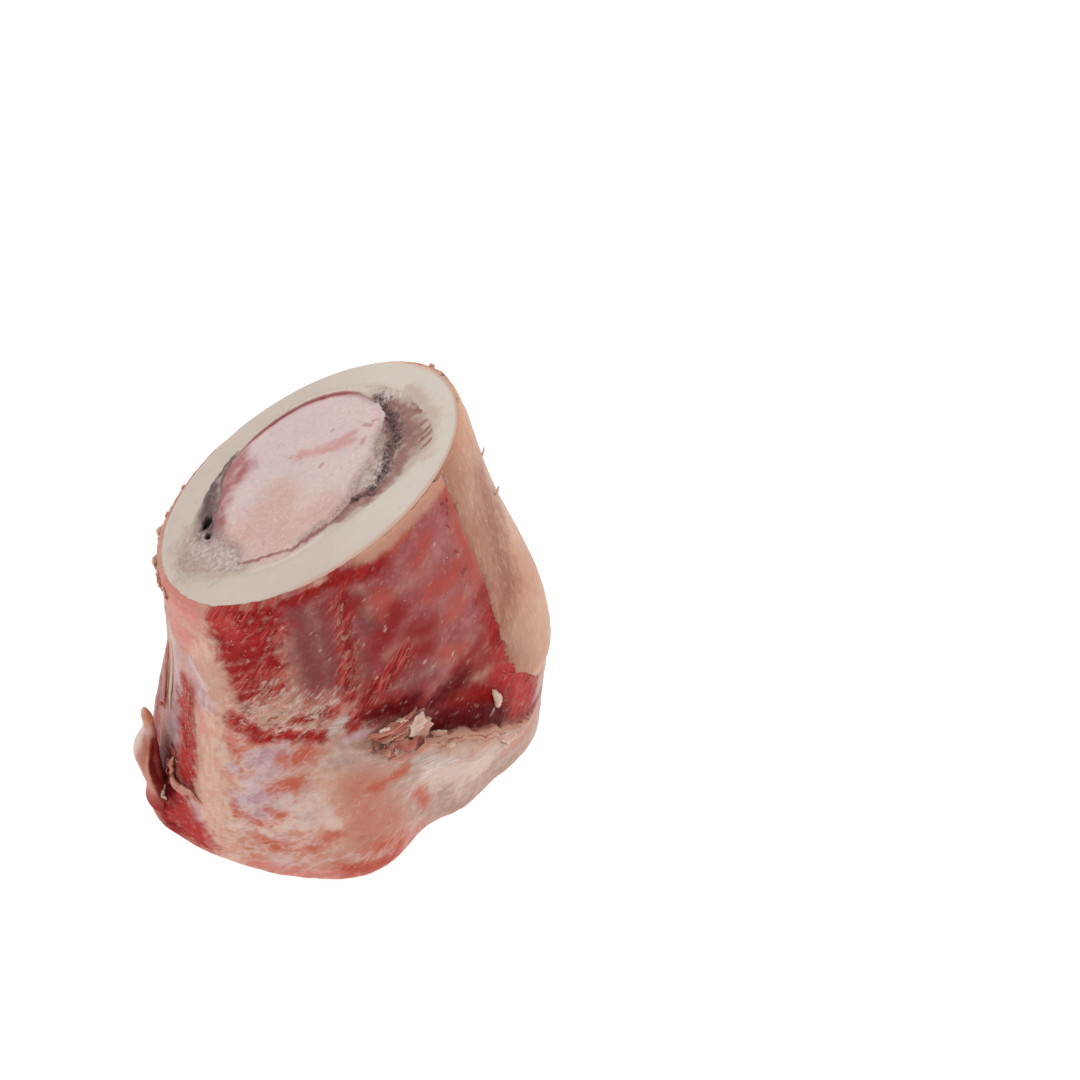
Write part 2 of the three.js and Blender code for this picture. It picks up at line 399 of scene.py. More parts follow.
def finish(piece, name, subsurface, radius, coat, coat_rough, specular=0.4):
    """Put a new material on a piece. Gives a wire of its Object coordinates, and its shader."""
    material = bpy.data.materials.new(name)
    material.use_nodes = True
    piece.data.materials.clear()
    piece.data.materials.append(material)
    shader = material.node_tree.nodes["Principled BSDF"]
    shader.inputs["Subsurface Weight"].default_value = subsurface
    shader.inputs["Subsurface Radius"].default_value = radius
    shader.inputs["Subsurface Scale"].default_value = MM
    shader.inputs["Specular IOR Level"].default_value = specular
    shader.inputs["Coat Weight"].default_value = coat
    shader.inputs["Coat Roughness"].default_value = coat_rough
    coordinates = material.node_tree.nodes.new("ShaderNodeTexCoord")
    return Wire(coordinates.outputs["Object"]), shader


def grain(at, size, detail=2, rough=0.5):
    """Noise from 0 to 1 with grains of a size in millimetres."""
    sockets = {"Vector": at, "Scale": 1 / (size * MM), "Detail": detail, "Roughness": rough}
    return at.node("TexNoise", {}, sockets)


def drawn_out(at, degrees, stretch):
    """Coordinates in which a noise comes out as fibres along a direction."""
    sockets = {"Vector": at, "Rotation": (0, 0, math.radians(degrees)), "Scale": (stretch, 1, 1)}
    return at.node("Mapping", {"vector_type": "TEXTURE"}, sockets)


def painted(at, name):
    """The numbers painted on the piece under a name."""
    return at.node("Attribute", {"attribute_name": name}, {}, "Fac")


def patch(at, name, fray, ragged, soft):
    """Where a painted tissue shows, with its edge frayed by a noise, but no stray bits far from it."""
    mask = painted(at, name)
    return (mask + (fray - 0.5) * ragged).clipped(0.5 - soft, 0.5 + soft) * mask.clipped(0.0, 0.25)


def laid_over(colour, at, tissues):
    """A colour with painted tissues laid over it, one after another.

    Each has a name, the noise that frays its edge and how much, how soft the edge is, how much of what is
    under it the tissue hides, and its colour.
    """
    for name, fray, ragged, soft, hides, over in tissues:
        colour = (patch(at, name, fray, ragged, soft) * hides).mix(colour, over)
    return colour


def connect(shader, colour, rough, height, depth):
    """Link a finish's colour, roughness and relief, whose depth is in millimetres."""
    tree = shader.id_data
    tree.links.new(colour.socket, shader.inputs["Base Color"])
    tree.links.new(rough.socket, shader.inputs["Roughness"])
    bump = height.node("Bump", {}, {"Height": height, "Strength": 1.0, "Distance": depth * MM})
    tree.links.new(bump.socket, shader.inputs["Normal"])


at, shader = finish(hard_bone, "sawn_ivory", 0.35, (1.6, 1.1, 0.7), 0.2, 0.3)
fine = grain(at, 0.35, 3)
middling = grain(at, 2.5, 3)
broad = grain(at, 14, 2)
ivory = broad.clipped(0.3, 0.7).mix(tint(210, 194, 182), tint(206, 191, 178))
# painted light: the sawn face is painted lighter towards the right
ivory = (painted(at, "pale") * 0.5).mix(ivory, tint(224, 215, 204))
ivory = (middling.clipped(0.45, 0.8) * 0.25).mix(ivory, tint(218, 206, 196))
ivory = (painted(at, "inner") * (0.1 + middling * 0.4)).mix(ivory, tint(206, 180, 168))
warm_edge = (painted(at, "edge") + (middling - 0.5) * 0.4).clipped(0.1, 0.9)
ivory = (warm_edge * 0.7).mix(ivory, tint(208, 158, 136))
ivory = laid_over(ivory, at, [
    ("grey", middling, 0.8, 0.45, 0.8, tint(116, 98, 98)),
    ("tan", middling, 1.0, 0.5, 0.6, tint(190, 158, 140)),
])
granular = grain(at, 0.7, 4, 0.7).clipped(0.3, 0.75).mix(tint(178, 146, 138), tint(204, 180, 172))
ivory = (patch(at, "grain", grain(at, 1.2, 3), 0.9, 0.5) * 0.85).mix(ivory, granular)
dust = grain(at, 0.22, 1).clipped(0.72, 0.8) * middling.clipped(0.45, 0.6)
ivory = (dust * 0.5).mix(ivory, tint(236, 230, 222))
saw_marks = grain(drawn_out(at, 20, 9), 0.5, 3)
connect(shader, ivory, 0.36 + fine * 0.2, saw_marks * 0.5 + fine * 0.5, 0.05)
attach(hard_bone, "root")
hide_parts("hard_bone")

# Spongy bone
# Between the wall and the marrow lies a mesh of thin bone struts. It is crumbly where the saw has torn it,
# dark with old blood at the right, packed with pale bone dust at the lower left, and a little sunken.
spongy = 0.8
spongy_forms = [
    (354, 1, 42, 0.8, 9.6),
    (204, 1, 25, 0.6, 6.6),
    (165, 1, 14, 0.5, 1.4),
    (270, 0, all_round, 0.5, 8),
]
under_wall = 0.8  # how far the spongy bone runs on under the edge of the wall
thin_gap = 0.65  # how far it draws back from the marrow where it is thin
cut_low = 0.006


def spongy_in(toward, rise):
    return wall_in(toward, rise) - clearance - spongy - swell(spongy_forms, toward, rise)


def thinness(toward, rise, wide=1.6):
    """1 where the spongy bone is at its thinnest, and 0 where it is wide."""
    return 1 - ease(swell(spongy_forms, toward, rise) / wide)


def spongy_edge(toward, rise):
    """Its inner edge, which covers the marrow's rim where it is wide and draws back where it is thin."""
    thin = thinness(toward, rise)
    return spongy_in(toward, rise) + thin_gap * thin - under_wall * (1 - thin)


def well_in(depth, start=0.8):
    """0 outside a stroke and at its edge, and 1 well inside it."""
    return ease(depth * 2 - start)


pore_places = [
    (50, 20.9, 26, 18.3, 1.5), (26, 18.3, 8, 17.7, 1.9), (8, 17.7, 358, 16.2, 2.0),
    (358, 16.2, 340, 16.3, 1.7), (340, 16.3, 323, 16.6, 1.3), (323, 16.4, 311, 13.6, 0.8),
]
hole_places = [(176, 20.4, 180.5, 20.5, 0.8), (188, 20.2, 190, 20.1, 0.5)]


def bend_spongy(straight):
    toward, share, rise = polar(straight)
    outer = wall_in(toward, rise) + under_wall
    inner = spongy_edge(toward, rise)
    points = place(toward, rise, inner + (outer - inner) * share)
    on_top = rise > top_rise
    top = points[on_top]
    across, up = from_cut_middle(top)
    dark = well_in(marks(on_cut(pore_places), across, up, 0.3, 1.5, 7))
    hole = well_in(marks(on_cut(hole_places), across, up, 0.6, 0.9, 8), 0.6)
    pores = lumps(top, 0.8, 3, 9)
    from_wall = (1 - share[on_top]) * np.abs(outer - inner)[on_top]
    sunk = 0.3 * ease((from_wall - under_wall) / 1.4) * ease(swell(spongy_forms, toward, rise)[on_top] / 2)
    top[:, 2] += -0.1 - sunk + 0.16 * pores * (0.4 + sunk * 2) - dark * (0.5 + 1.1 * pores) - 2.6 * hole
    points[on_top] = top
    return points


bm = turned([(1, cut_low), (2, cut_low), (2, 1), (1, 1)], [10, 4, 52, 4], 460)
spongy_bone = shape("spongy_bone_core", bm, bend_spongy)
red_line = [
    (226, 20.2, 240, 18.8, 0.3), (240, 18.8, 262, 17.6, 0.35), (262, 17.6, 290, 15.4, 0.45),
    (290, 15.4, 316, 14.3, 0.3),
]
spongy_stains = [
    # marrow blood beside the wall at the right
    ("streak", 0.5, 0.7, 3, [
        (356.5, 22.6, 359.5, 24.8, 0.45), (350.6, 23.1, 353.8, 24.8, 0.42), (0.5, 22.6, 3, 24.2, 0.35),
        (7, 22.2, 8, 23.5, 0.35), (16, 23.2, 20, 22.6, 0.5),
    ]),
    ("dark", 0.6, 1.5, 7, pore_places),
    ("hole", 0.6, 0.9, 8, hole_places),
    ("crescent", 0.4, 1.5, 10, [
        (134, 23.2, 150, 23, 1.1), (150, 22.8, 170, 21.0, 1.8), (170, 20.6, 188, 19.6, 2.2),
    ]),
    ("blood", 0.7, 1.6, 11, [
        (40, 20.6, 20, 22.2, 1.0), (330, 18.6, 316, 17.4, 1.4), (352, 19.6, 338, 19.2, 1.3),
        (24, 21.6, 356, 20.6, 2.2), (322, 15.2, 296, 15.6, 1.0),
    ]),
    # pale bone dust
    ("frost", 0.7, 1.4, 12, [
        (47, 21.5, 38, 23, 1.4), (337, 13.4, 328, 14.6, 1.1), (345, 14.8, 330, 15.6, 0.9),
        (192, 22.5, 226, 20.4, 2.4), (334, 13.0, 340, 14.2, 1.5), (351, 14.6, 354, 15.2, 1.1),
    ]),
    ("line", 0.9, 0.9, 13, red_line),
]
stain(spongy_bone, spongy_stains)
cut_across, cut_up = from_cut_middle(in_mm(spongy_bone))
ring_toward = toward_of(cut_across, cut_up)
to_wall = bone_radius(ring_toward, 1.0) + wall_in(ring_toward, 1.0) - np.hypot(cut_across, cut_up)
paint(spongy_bone, "thin", thinness(ring_toward, 1.0, 2.2))
wide_fade = 1.4 + 2.6 * ease(np.cos(np.radians(ring_toward - 5)) * 1.5 - 0.3)
paint(spongy_bone, "beside_wall", ease(1 - to_wall / wide_fade))


def far_side(toward):
    """1 round the far side of the marrow, where a thin crimson skin lines the bone, and 0 elsewhere."""
    return ease(1.25 - np.abs(turn_from(toward, 95)) / 52)


to_marrow = wall_in(ring_toward, 1.0) - spongy_edge(ring_toward, 1.0) - to_wall
paint(spongy_bone, "lining", far_side(ring_toward) * ease(1 - to_marrow / 0.7))

at, shader = finish(spongy_bone, "torn_spongy_bone", 0.25, (1.2, 0.7, 0.5), 0.25, 0.3)
fine = grain(at, 0.4, 4, 0.65)
middling = grain(at, 1.3, 4, 0.6)
struts = middling.clipped(0.3, 0.7).mix(tint(182, 150, 140), tint(200, 178, 166))
struts = (patch(at, "beside_wall", middling, 0.7, 0.5) * 0.85).mix(struts, tint(204, 186, 168))
struts = (painted(at, "thin") * 0.95).mix(struts, tint(218, 204, 190))
struts = laid_over(struts, at, [
    ("crescent", middling, 0.8, 0.45, 0.9, tint(84, 58, 61)),
    ("blood", middling, 1.0, 0.45, 0.85, tint(152, 100, 90)),
    ("line", fine, 0.8, 0.3, 0.7, tint(140, 74, 72)),
    ("lining", middling, 0.9, 0.45, 0.85, tint(164, 80, 90)),
    ("streak", fine, 0.9, 0.4, 0.85, tint(146, 84, 58)),
])
pored = (middling * 0.5 + fine * 0.5).clipped(0.4, 0.58).mix(tint(46, 30, 30), tint(146, 106, 98))
struts = patch(at, "dark", middling, 1.5, 0.35).mix(struts, pored)
frost = grain(at, 0.8, 4, 0.6).clipped(0.42, 0.62) * 0.8
struts = (patch(at, "frost", middling, 0.9, 0.4) * frost).mix(struts, tint(222, 208, 203))
sparks = grain(at, 0.4, 2).clipped(0.66, 0.74) * patch(at, "dark", middling, 1.0, 0.3)
struts = (sparks * 0.8).mix(struts, tint(214, 204, 200))
# painted shade: the holes, sunk deep in the mesh, are also painted near black
struts = patch(at, "hole", fine, 0.3, 0.12).mix(struts, tint(34, 20, 18))
crumbly = 1 - painted(at, "thin") * 0.9
connect(shader, struts, 0.35 + fine * 0.35, (fine * 0.6 + middling * 0.8) * crumbly, 0.45)
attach(spongy_bone, "root")
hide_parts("spongy_bone")

# Marrow
# The soft fat that fills the bone. It is pale pink with a frosty grain, stained by a few blood vessels,
# swells a little above the cut, and has a fine dark line of blood round it where it meets the bone.
marrow_spread = 1.05  # how far it spreads over the bone's edge where the spongy bone is thin


def bend_marrow(straight):
    toward = toward_of(straight[:, 0], straight[:, 1])
    share = np.hypot(straight[:, 0], straight[:, 1])
    rise = straight[:, 2]
    edge = spongy_in(toward, rise) - clearance + marrow_spread * thinness(toward, rise)
    points = place(toward, rise, edge, share)
    torn = 0.5 * lumps(points, 2.4, 3, 13) + 0.2 * lumps(points, 0.8, 2, 14)
    points = place(toward, rise, edge + torn * ease(share * 4 - 3), share)
    on_top = rise > top_rise
    top = points[on_top]
    falling = ease((share[on_top] - 0.9) / 0.1)
    top[:, 2] += 0.1 - 0.42 * falling + 0.1 * lumps(top, 5, 2, 15) + 0.05 * lumps(top, 1.1, 2, 16)
    points[on_top] = top
    return points


bm = turned([(0, cut_low), (1, cut_low), (1, 1), (0, 1)], [10, 6, 62], 320)
marrow = shape("marrow_fat", bm, bend_marrow)
marrow_stains = [
    # blood vessels, seen from the side and end on
    ("vessel", 0.5, 2.2, 17, [(103, 8.6, 65, 7.6, 1.0), (65, 7.6, 38, 10.6, 1.2), (60, 8.6, 42, 12, 0.9)]),
    ("dot", 0.5, 0.8, 18, [
        (113, 9.5, 113, 9.7, 0.45), (47, 3.5, 47, 4.3, 0.4), (69, 12.3, 69, 12.5, 0.35),
        (22, 11.5, 25, 12.2, 0.45), (40, 14.4, 34, 14.9, 0.4), (36, 15.6, 34, 16.8, 0.3),
    ]),
    ("salmon", 0.4, 4, 19, [(215, 10, 250, 14, 5), (190, 6, 215, 14, 4), (270, 11, 300, 11, 3)]),
    ("blush", 0.25, 3, 20, [
        (134, 21, 152, 20, 1.8), (152, 19.6, 170, 18.6, 2.2), (138, 17.5, 150, 17.6, 1.6),
        (172, 19, 190, 18.2, 1.8),
    ]),
    ("bruise", 0.4, 2, 21, [
        (140, 22.2, 152, 21.2, 0.9), (152, 21, 170, 19.6, 1.2), (170, 19.4, 192, 19, 1.4),
    ]),
    # porous bone shows through the marrow's thin edge at the right
    ("fringe", 0.5, 1.8, 22, [
        (22, 15.8, 352, 13.8, 1.6), (352, 13.8, 325, 12.8, 2.0), (325, 12.8, 300, 14, 1.6),
        (300, 14, 268, 16, 1.2), (192, 18.6, 224, 19, 1.6),
    ]),
    ("line", 0.9, 0.9, 13, red_line),
]
stain(marrow, marrow_stains)
cut_across, cut_up = from_cut_middle(in_mm(marrow))
ring_toward = toward_of(cut_across, cut_up)
to_edge = bone_radius(ring_toward, 1.0) + spongy_edge(ring_toward, 1.0) - np.hypot(cut_across, cut_up)
paint(marrow, "lining", (0.2 + 0.8 * far_side(ring_toward)) * ease(1 - to_edge / 2.4))

at, shader = finish(marrow, "raw_marrow", 0.5, (2.6, 1.5, 1.2), 0.35, 0.25)
fine = grain(at, 0.45, 4, 0.6)
middling = grain(at, 2, 3)
broad = grain(at, 9, 2)
fatty = broad.clipped(0.35, 0.65).mix(tint(223, 198, 196), tint(228, 203, 196))
fatty = (patch(at, "salmon", broad, 0.8, 0.5) * 0.85).mix(fatty, tint(217, 172, 156))
frosty = grain(at, 0.9, 5, 0.65)
fatty = (frosty.clipped(0.5, 0.7) * 0.4).mix(fatty, tint(234, 220, 214))
fatty = ((1 - frosty).clipped(0.52, 0.74) * 0.35).mix(fatty, tint(204, 158, 150))
crystals = grain(at, 0.5, 2).clipped(0.6, 0.68) * (broad * 0.6 + middling * 0.4).clipped(0.4, 0.6)
fatty = (crystals * 0.6).mix(fatty, tint(244, 234, 228))
fatty = (patch(at, "blush", middling, 0.8, 0.5) * (0.55 + middling * 0.6)).mix(fatty, tint(176, 92, 94))
fatty = laid_over(fatty, at, [
    ("bruise", middling, 0.8, 0.5, 0.8, tint(122, 70, 74)),
    ("vessel", middling, 1.4, 0.5, 0.6, tint(210, 128, 124)),
    ("dot", fine, 0.9, 0.45, 0.55, tint(186, 84, 86)),
])
porous = fine.clipped(0.4, 0.6).mix(tint(142, 104, 100), tint(196, 164, 156))
fatty = laid_over(fatty, at, [
    ("fringe", frosty, 1.4, 0.45, 0.7, porous),
    ("line", fine, 0.8, 0.3, 0.75, tint(142, 58, 60)),
    ("lining", middling, 1.2, 0.5, 0.55, tint(196, 120, 124)),
])
crimson = patch(at, "lining", fine, 0.8, 0.25) * painted(at, "lining").clipped(0.6, 0.95)
fatty = (crimson * 0.9).mix(fatty, tint(158, 66, 78))
connect(shader, fatty, 0.25 + fine * 0.35, fine * 0.8 + frosty * 1.4 + middling * 0.3, 0.2)
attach(marrow, "root")
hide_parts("marrow")

# Meat and membrane
# A thin covering left on the bone by the butcher's knife: bands of red muscle, mauve membrane, pale sinew
# and ragged torn tissue. It is grown onto the bone all round, and is wet.
film = 1.2
thinnest_meat = 0.8
meat_forms = [
    (243, 0.84, 15, 0.18, 0.9),
    (280, 0.78, 4, 0.16, 0.6),
    (256, 0.62, 15, 0.09, 1.3),
    (302, 0.3, 15, 0.055, 1.7),
    (320, 0.24, 14, 0.055, 2.2),
    (340, 0.17, 14, 0.055, 2),
    (322, 0.41, 18, 0.07, -0.8),
    (305, 0.12, 26, 0.14, 0.9),
    (250, 0.38, 18, 0.17, 0.8),
    (227, 0.34, 6, 0.34, 0.6),
    (197, 0.44, 7, 0.16, 0.7),
    (204, 0.17, 6, 0.09, -0.8),
    (209, 0, 15, 0.1, 2.6),
    (150, 0.4, 30, 0.4, 1.6),
    (95, 0.25, 24, 0.3, 2),
    (60, 0.6, 18, 0.3, 1),
    (85, 1, 60, 0.2, -0.6),
]
cover_round = 400  # faces round the covering
cover_up = 228  # faces up its outside
front = 270
crowding = 0.42  # how much closer the faces stand at the front than on average
seam = 8  # direction where the fibre map starts, under the fat
map_radius = 34  # millimetres, for laying the surface out flat
map_height = 75
way_round = 2 * math.pi * map_radius
mm_per_degree = math.radians(map_radius)  # on the map, along one degree of direction

# each tissue: how ragged its edge is, the size of that raggedness, and its strokes
# each stroke: direction and rise of its two ends, and its half width in millimetres
tissue_strokes = {
    # muscle laid bare
    "muscle": (0.6, 1.8, [
        (237, 0.985, 258, 0.96, 2.8), (238, 0.91, 257, 0.9, 3.4), (240, 0.83, 254, 0.84, 2.8),
        (262, 0.98, 282, 0.985, 0.8), (282, 0.985, 297, 0.935, 1.5), (287, 0.6, 278, 0.54, 2.4),
        (336, 0.55, 338, 0.45, 1.8), (339, 0.36, 350, 0.23, 3), (334, 0.29, 351, 0.175, 2.4),
        (285, 0.54, 300, 0.49, 2.6), (300, 0.66, 287, 0.61, 1.6), (210, 0.62, 214, 0.5, 2),
        (211, 0.5, 215, 0.38, 3.4), (215, 0.38, 216, 0.26, 3.2), (212, 0.16, 224, 0.06, 3.8),
        (210, 0.07, 216, 0.02, 3.2), (206, 0.2, 213, 0.12, 2.4), (283, 0.93, 281, 0.8, 1.5),
        (281, 0.8, 278, 0.62, 1.8), (239, 0.6, 247, 0.56, 2.2), (254, 0.57, 267, 0.53, 2.2),
        (242, 0.75, 256, 0.77, 2.6), (243, 0.69, 256, 0.71, 1.8), (260, 0.6, 272, 0.6, 1.6),
        (246, 0.54, 258, 0.55, 1.4), (338, 0.34, 346, 0.2, 3.6), (238, 0.945, 257, 0.93, 2.8),
        (239, 0.87, 256, 0.865, 2.8), (241, 0.79, 255, 0.8, 2.6), (243, 0.72, 254, 0.73, 2),
        # on the back, which is not seen in the photograph
        (62, 0.8, 105, 0.74, 7), (112, 0.5, 148, 0.52, 9), (70, 0.34, 98, 0.28, 7), (160, 0.72, 176, 0.6, 5),
        (182, 0.3, 196, 0.14, 4),
    ]),
    # muscle that shines through the membrane, with soft edges
    "flush": (0.4, 2.6, [
        (282, 0.985, 299, 0.94, 2), (280, 0.91, 286, 0.88, 2.2), (301, 0.78, 291, 0.72, 2.6),
        (303, 0.7, 310, 0.68, 2.6), (301, 0.65, 308, 0.63, 2.2), (300, 0.65, 286, 0.6, 2.4),
        (336, 0.62, 338, 0.47, 2.6), (322, 0.48, 332, 0.5, 3), (216, 0.62, 214, 0.5, 2),
        (266, 0.97, 276, 0.97, 1.4), (318, 0.44, 330, 0.47, 2.6), (330, 0.46, 339, 0.41, 3),
        (304, 0.46, 330, 0.36, 3.6), (320, 0.49, 332, 0.46, 2.8), (330, 0.38, 342, 0.34, 3),
        (350, 0.155, 3, 0.145, 1.6), (201, 0.27, 205, 0.14, 2.6), (321, 0.46, 333, 0.44, 3),
    ]),
    # brighter muscle, cut fresh
    "scarlet": (0.5, 2.2, [
        (210, 0.62, 213, 0.5, 1.6), (212, 0.5, 215, 0.38, 2.6), (215, 0.38, 216, 0.26, 2.6),
        (212, 0.16, 224, 0.06, 3.4), (339, 0.38, 346, 0.24, 3.2), (237, 0.97, 246, 0.9, 2),
    ]),
    # orange where fat and muscle meet under the membrane
    "ember": (0.5, 2.2, [
        (299, 0.95, 312, 0.975, 1.4), (295, 0.86, 297, 0.81, 2), (331, 0.97, 334, 0.86, 1.8),
        (333, 0.86, 333, 0.72, 1.8), (334, 0.72, 336, 0.55, 2.2), (314, 0.77, 325, 0.75, 2),
        (320, 0.665, 324, 0.67, 1.8), (314, 0.57, 322, 0.53, 1.8), (312, 0.87, 318, 0.9, 1.8),
        (272, 0.03, 286, 0.025, 1.8),
    ]),
    # thin wet membrane over the muscle
    "membrane": (0.3, 3.5, [
        (298, 0.9, 330, 0.92, 7), (294, 0.76, 328, 0.76, 8), (294, 0.62, 326, 0.6, 7),
        (283, 0.92, 290, 0.6, 5), (267, 0.95, 268, 0.7, 4.2), (276, 0.92, 276, 0.68, 4),
        (290, 0.56, 310, 0.52, 3),
        # on the back, which is not seen in the photograph
        (70, 0.62, 160, 0.66, 12), (120, 0.85, 185, 0.84, 7), (100, 0.4, 185, 0.42, 9),
    ]),
    "mauve": (0.3, 3, [
        (267, 0.93, 266, 0.72, 3.8), (272, 0.9, 272, 0.7, 3.2), (281, 0.76, 285, 0.61, 2.3),
        (292, 0.58, 308, 0.54, 3), (288, 0.88, 290, 0.8, 2),
    ]),
    # painted shade in deep slits, behind the flap and on shadowed muscle
    "dark": (0.4, 2, [
        (286, 0.44, 299, 0.39, 2), (206, 0.25, 210, 0.12, 2.2), (284, 0.53, 300, 0.5, 2),
        (308, 0.435, 322, 0.445, 2.4),
    ]),
    # fat stained orange
    "orange": (0.6, 2, [
        (237, 0.55, 237, 0.49, 1.3), (251, 0.36, 258, 0.38, 1.7), (237.5, 0.29, 238, 0.23, 0.8),
        (241, 0.24, 245, 0.22, 1), (282, 0.31, 292, 0.325, 1.2), (298, 0.19, 302, 0.11, 1.6),
        (281, 0.1, 290, 0.06, 1.8), (256, 0.46, 263, 0.49, 2.4), (240, 0.6, 244, 0.57, 1.7),
        (337, 0.58, 338, 0.48, 1.6), (248, 0.28, 252, 0.26, 1), (262, 0.14, 268, 0.18, 1.4),
        (246, 0.14, 252, 0.12, 1.6), (268, 0.06, 282, 0.03, 1.2), (300, 0.985, 334, 0.99, 1),
    ]),
    # pale sinew over the foot
    "sinew": (0.3, 4, [
        (294, 0.28, 320, 0.15, 6), (300, 0.16, 322, 0.03, 6), (318, 0.2, 345, 0.12, 4),
        (272, 0.44, 290, 0.4, 3.4), (270, 0.52, 275, 0.55, 1.8), (340, 0.05, 7, 0.08, 5),
        (350, 0.16, 7, 0.2, 3),
        # on the back, which is not seen in the photograph
        (128, 0.02, 118, 0.9, 2.4), (84, 0.08, 150, 0.1, 6), (172, 0.05, 180, 0.4, 3),
    ]),
    # silvery skin that catches the light
    "silver": (0.5, 1.6, [
        (298, 0.33, 303, 0.3, 1.6), (301, 0.25, 305, 0.22, 1.2), (271, 0.535, 275, 0.56, 1),
        (306, 0.27, 311, 0.25, 0.8),
    ]),
    # the same skin where it is thin, in lilac
    "lilac": (0.6, 1.8, [
        (246, 0.45, 254, 0.49, 2.3), (240, 0.29, 251, 0.35, 2.4), (237, 0.42, 237.5, 0.42, 1.1),
        (244, 0.38, 247, 0.33, 1.8), (275, 0.49, 280, 0.49, 1), (251, 0.43, 247, 0.4, 1.6),
        (244, 0.24, 249, 0.29, 1.5), (214, 0.36, 214, 0.3, 1), (217, 0.26, 218, 0.23, 1.2),
        (223, 0.17, 224, 0.12, 1.4), (203, 0.7, 204, 0.3, 2.2), (218, 0.72, 226, 0.62, 2.4),
    ]),
    "peach": (0.3, 3, [
        (228, 0.6, 230, 0.26, 2.8), (230, 0.26, 232, 0.02, 3.2), (269, 0.42, 269, 0.18, 2.8),
        (222, 0.8, 229, 0.84, 2.4),
    ]),
    "salmon": (0.3, 3, [
        (276, 0.33, 279, 0.14, 4.6), (284, 0.22, 288, 0.12, 2.6), (344, 0.1, 1, 0.09, 2.4),
    ]),
    "pink": (0.3, 3, [
        (205, 0.96, 222, 0.96, 4), (208, 0.84, 220, 0.82, 4), (222, 0.66, 226, 0.52, 2.2),
        (224, 0.16, 228, 0.05, 1.8), (240, 0.03, 300, 0.02, 1.6),
    ]),
    # tissue torn by the knife
    "torn": (0.7, 1.4, [
        (239, 0.665, 251, 0.69, 1.5), (253, 0.7, 262, 0.64, 2.1), (262, 0.64, 273, 0.645, 1.7),
        (256, 0.59, 266, 0.565, 1.6), (246, 0.62, 254, 0.66, 1.3), (262, 0.67, 266, 0.62, 2),
        (266, 0.6, 271, 0.58, 1.2),
    ]),
    # where pale fibres fray over it
    "frayed": (0.4, 2, [
        (238, 0.62, 272, 0.6, 6), (240, 0.74, 262, 0.74, 4), (281, 0.9, 278, 0.64, 2.6),
        (300, 0.66, 279, 0.56, 2.8), (256, 0.9, 259, 0.8, 2.4), (238, 0.97, 246, 0.96, 2.2),
        (212, 0.55, 217, 0.32, 1.6),
    ]),
    "cream": (0.6, 1.2, [
        (257, 0.28, 261, 0.31, 1.7), (268, 0.22, 264, 0.34, 1.2), (252, 0.2, 256, 0.24, 1),
        (240, 0.36, 243, 0.37, 0.9), (246, 0.18, 250, 0.16, 0.9), (258, 0.22, 264, 0.25, 1),
        (236, 0.17, 239, 0.19, 0.9), (306, 0.22, 326, 0.13, 4), (200, 0.78, 201, 0.46, 1.3),
        (217, 0.75, 226, 0.69, 0.8),
    ]),
    "mottled": (0.5, 3, [
        (243, 0.52, 242, 0.06, 6), (256, 0.46, 257, 0.06, 7), (268, 0.08, 296, 0.05, 3),
    ]),
}
# upper edge of the sinew over the foot, with a step above it
ledge_toward = (272, 282, 291, 302, 314, 327, 339, 350, 362)
ledge_rise = (0.47, 0.45, 0.4, 0.365, 0.325, 0.27, 0.205, 0.155, 0.13)
ledge_step = 1.5
# the dark hollow over the ledge: its two ends by direction, and its height in millimetres at each
hollow_toward = (297, 345)
hollow_height = (7, 12)
cover_top = 0.9985  # the covering's rim stays a little under the sawn face


def flat_map(toward, rise):
    """The surface laid out flat: millimetres round it from the seam, and up it."""
    return np.radians((toward - seam) % 360) * map_radius, rise * map_height


def on_cover(strokes):
    """Strokes given by direction and rise, as strokes on the flat map, repeated across its seam."""
    made = []
    for start_toward, start_rise, end_toward, end_rise, half in strokes:
        start = flat_map(start_toward, start_rise)
        end = flat_map(end_toward, end_rise)
        made.append((*start, *end, half))
        if max(start[0], end[0]) > way_round - 3 * half:
            made.append((start[0] - way_round, start[1], end[0] - way_round, end[1], half))
        if min(start[0], end[0]) < 3 * half:
            made.append((start[0] + way_round, start[1], end[0] + way_round, end[1], half))
    return made


def fibres(across, up, angle, stretch, size, seed):
    """Noise drawn out along one direction of the flat map, in degrees above the level."""
    turn = np.exp(-1j * math.radians(angle))
    spun = (across + 1j * up) * turn
    return lumps(as_points(spun.real / stretch, spun.imag), size, 3, seed)


fat_thickness = 1.3
fat_rises = (0.21, 0.998)
fat_front = (-18, -29)
fat_back = (42, 32)
fat_forms = [(5, 0.36, 22, 0.3, 0.6), (352, 0.25, 15, 0.09, 0.7)]


def fat_out(toward, rise):
    thinning = 1 - 0.55 * ease((rise - 0.9) / 0.09)
    return clearance + fat_thickness * thinning + swell(fat_forms, toward, rise)


def fat_edges(share):
    """Directions of the fat's front and back edges at a share of its height."""
    front_edge = fat_front[0] + (fat_front[1] - fat_front[0]) * share
    return front_edge, fat_back[0] + (fat_back[1] - fat_back[0]) * share


def in_fat(toward, rise):
    """How many millimetres each place lies inside the edges of the fat; less than 0 is outside."""
    front_edge, back_edge = fat_edges((rise - fat_rises[0]) / (fat_rises[1] - fat_rises[0]))
    signed = turn_from(toward, 0)
    degrees = np.minimum(signed - front_edge, back_edge - signed)
    return np.minimum(degrees * mm_per_degree, (rise - fat_rises[0]) * map_height)


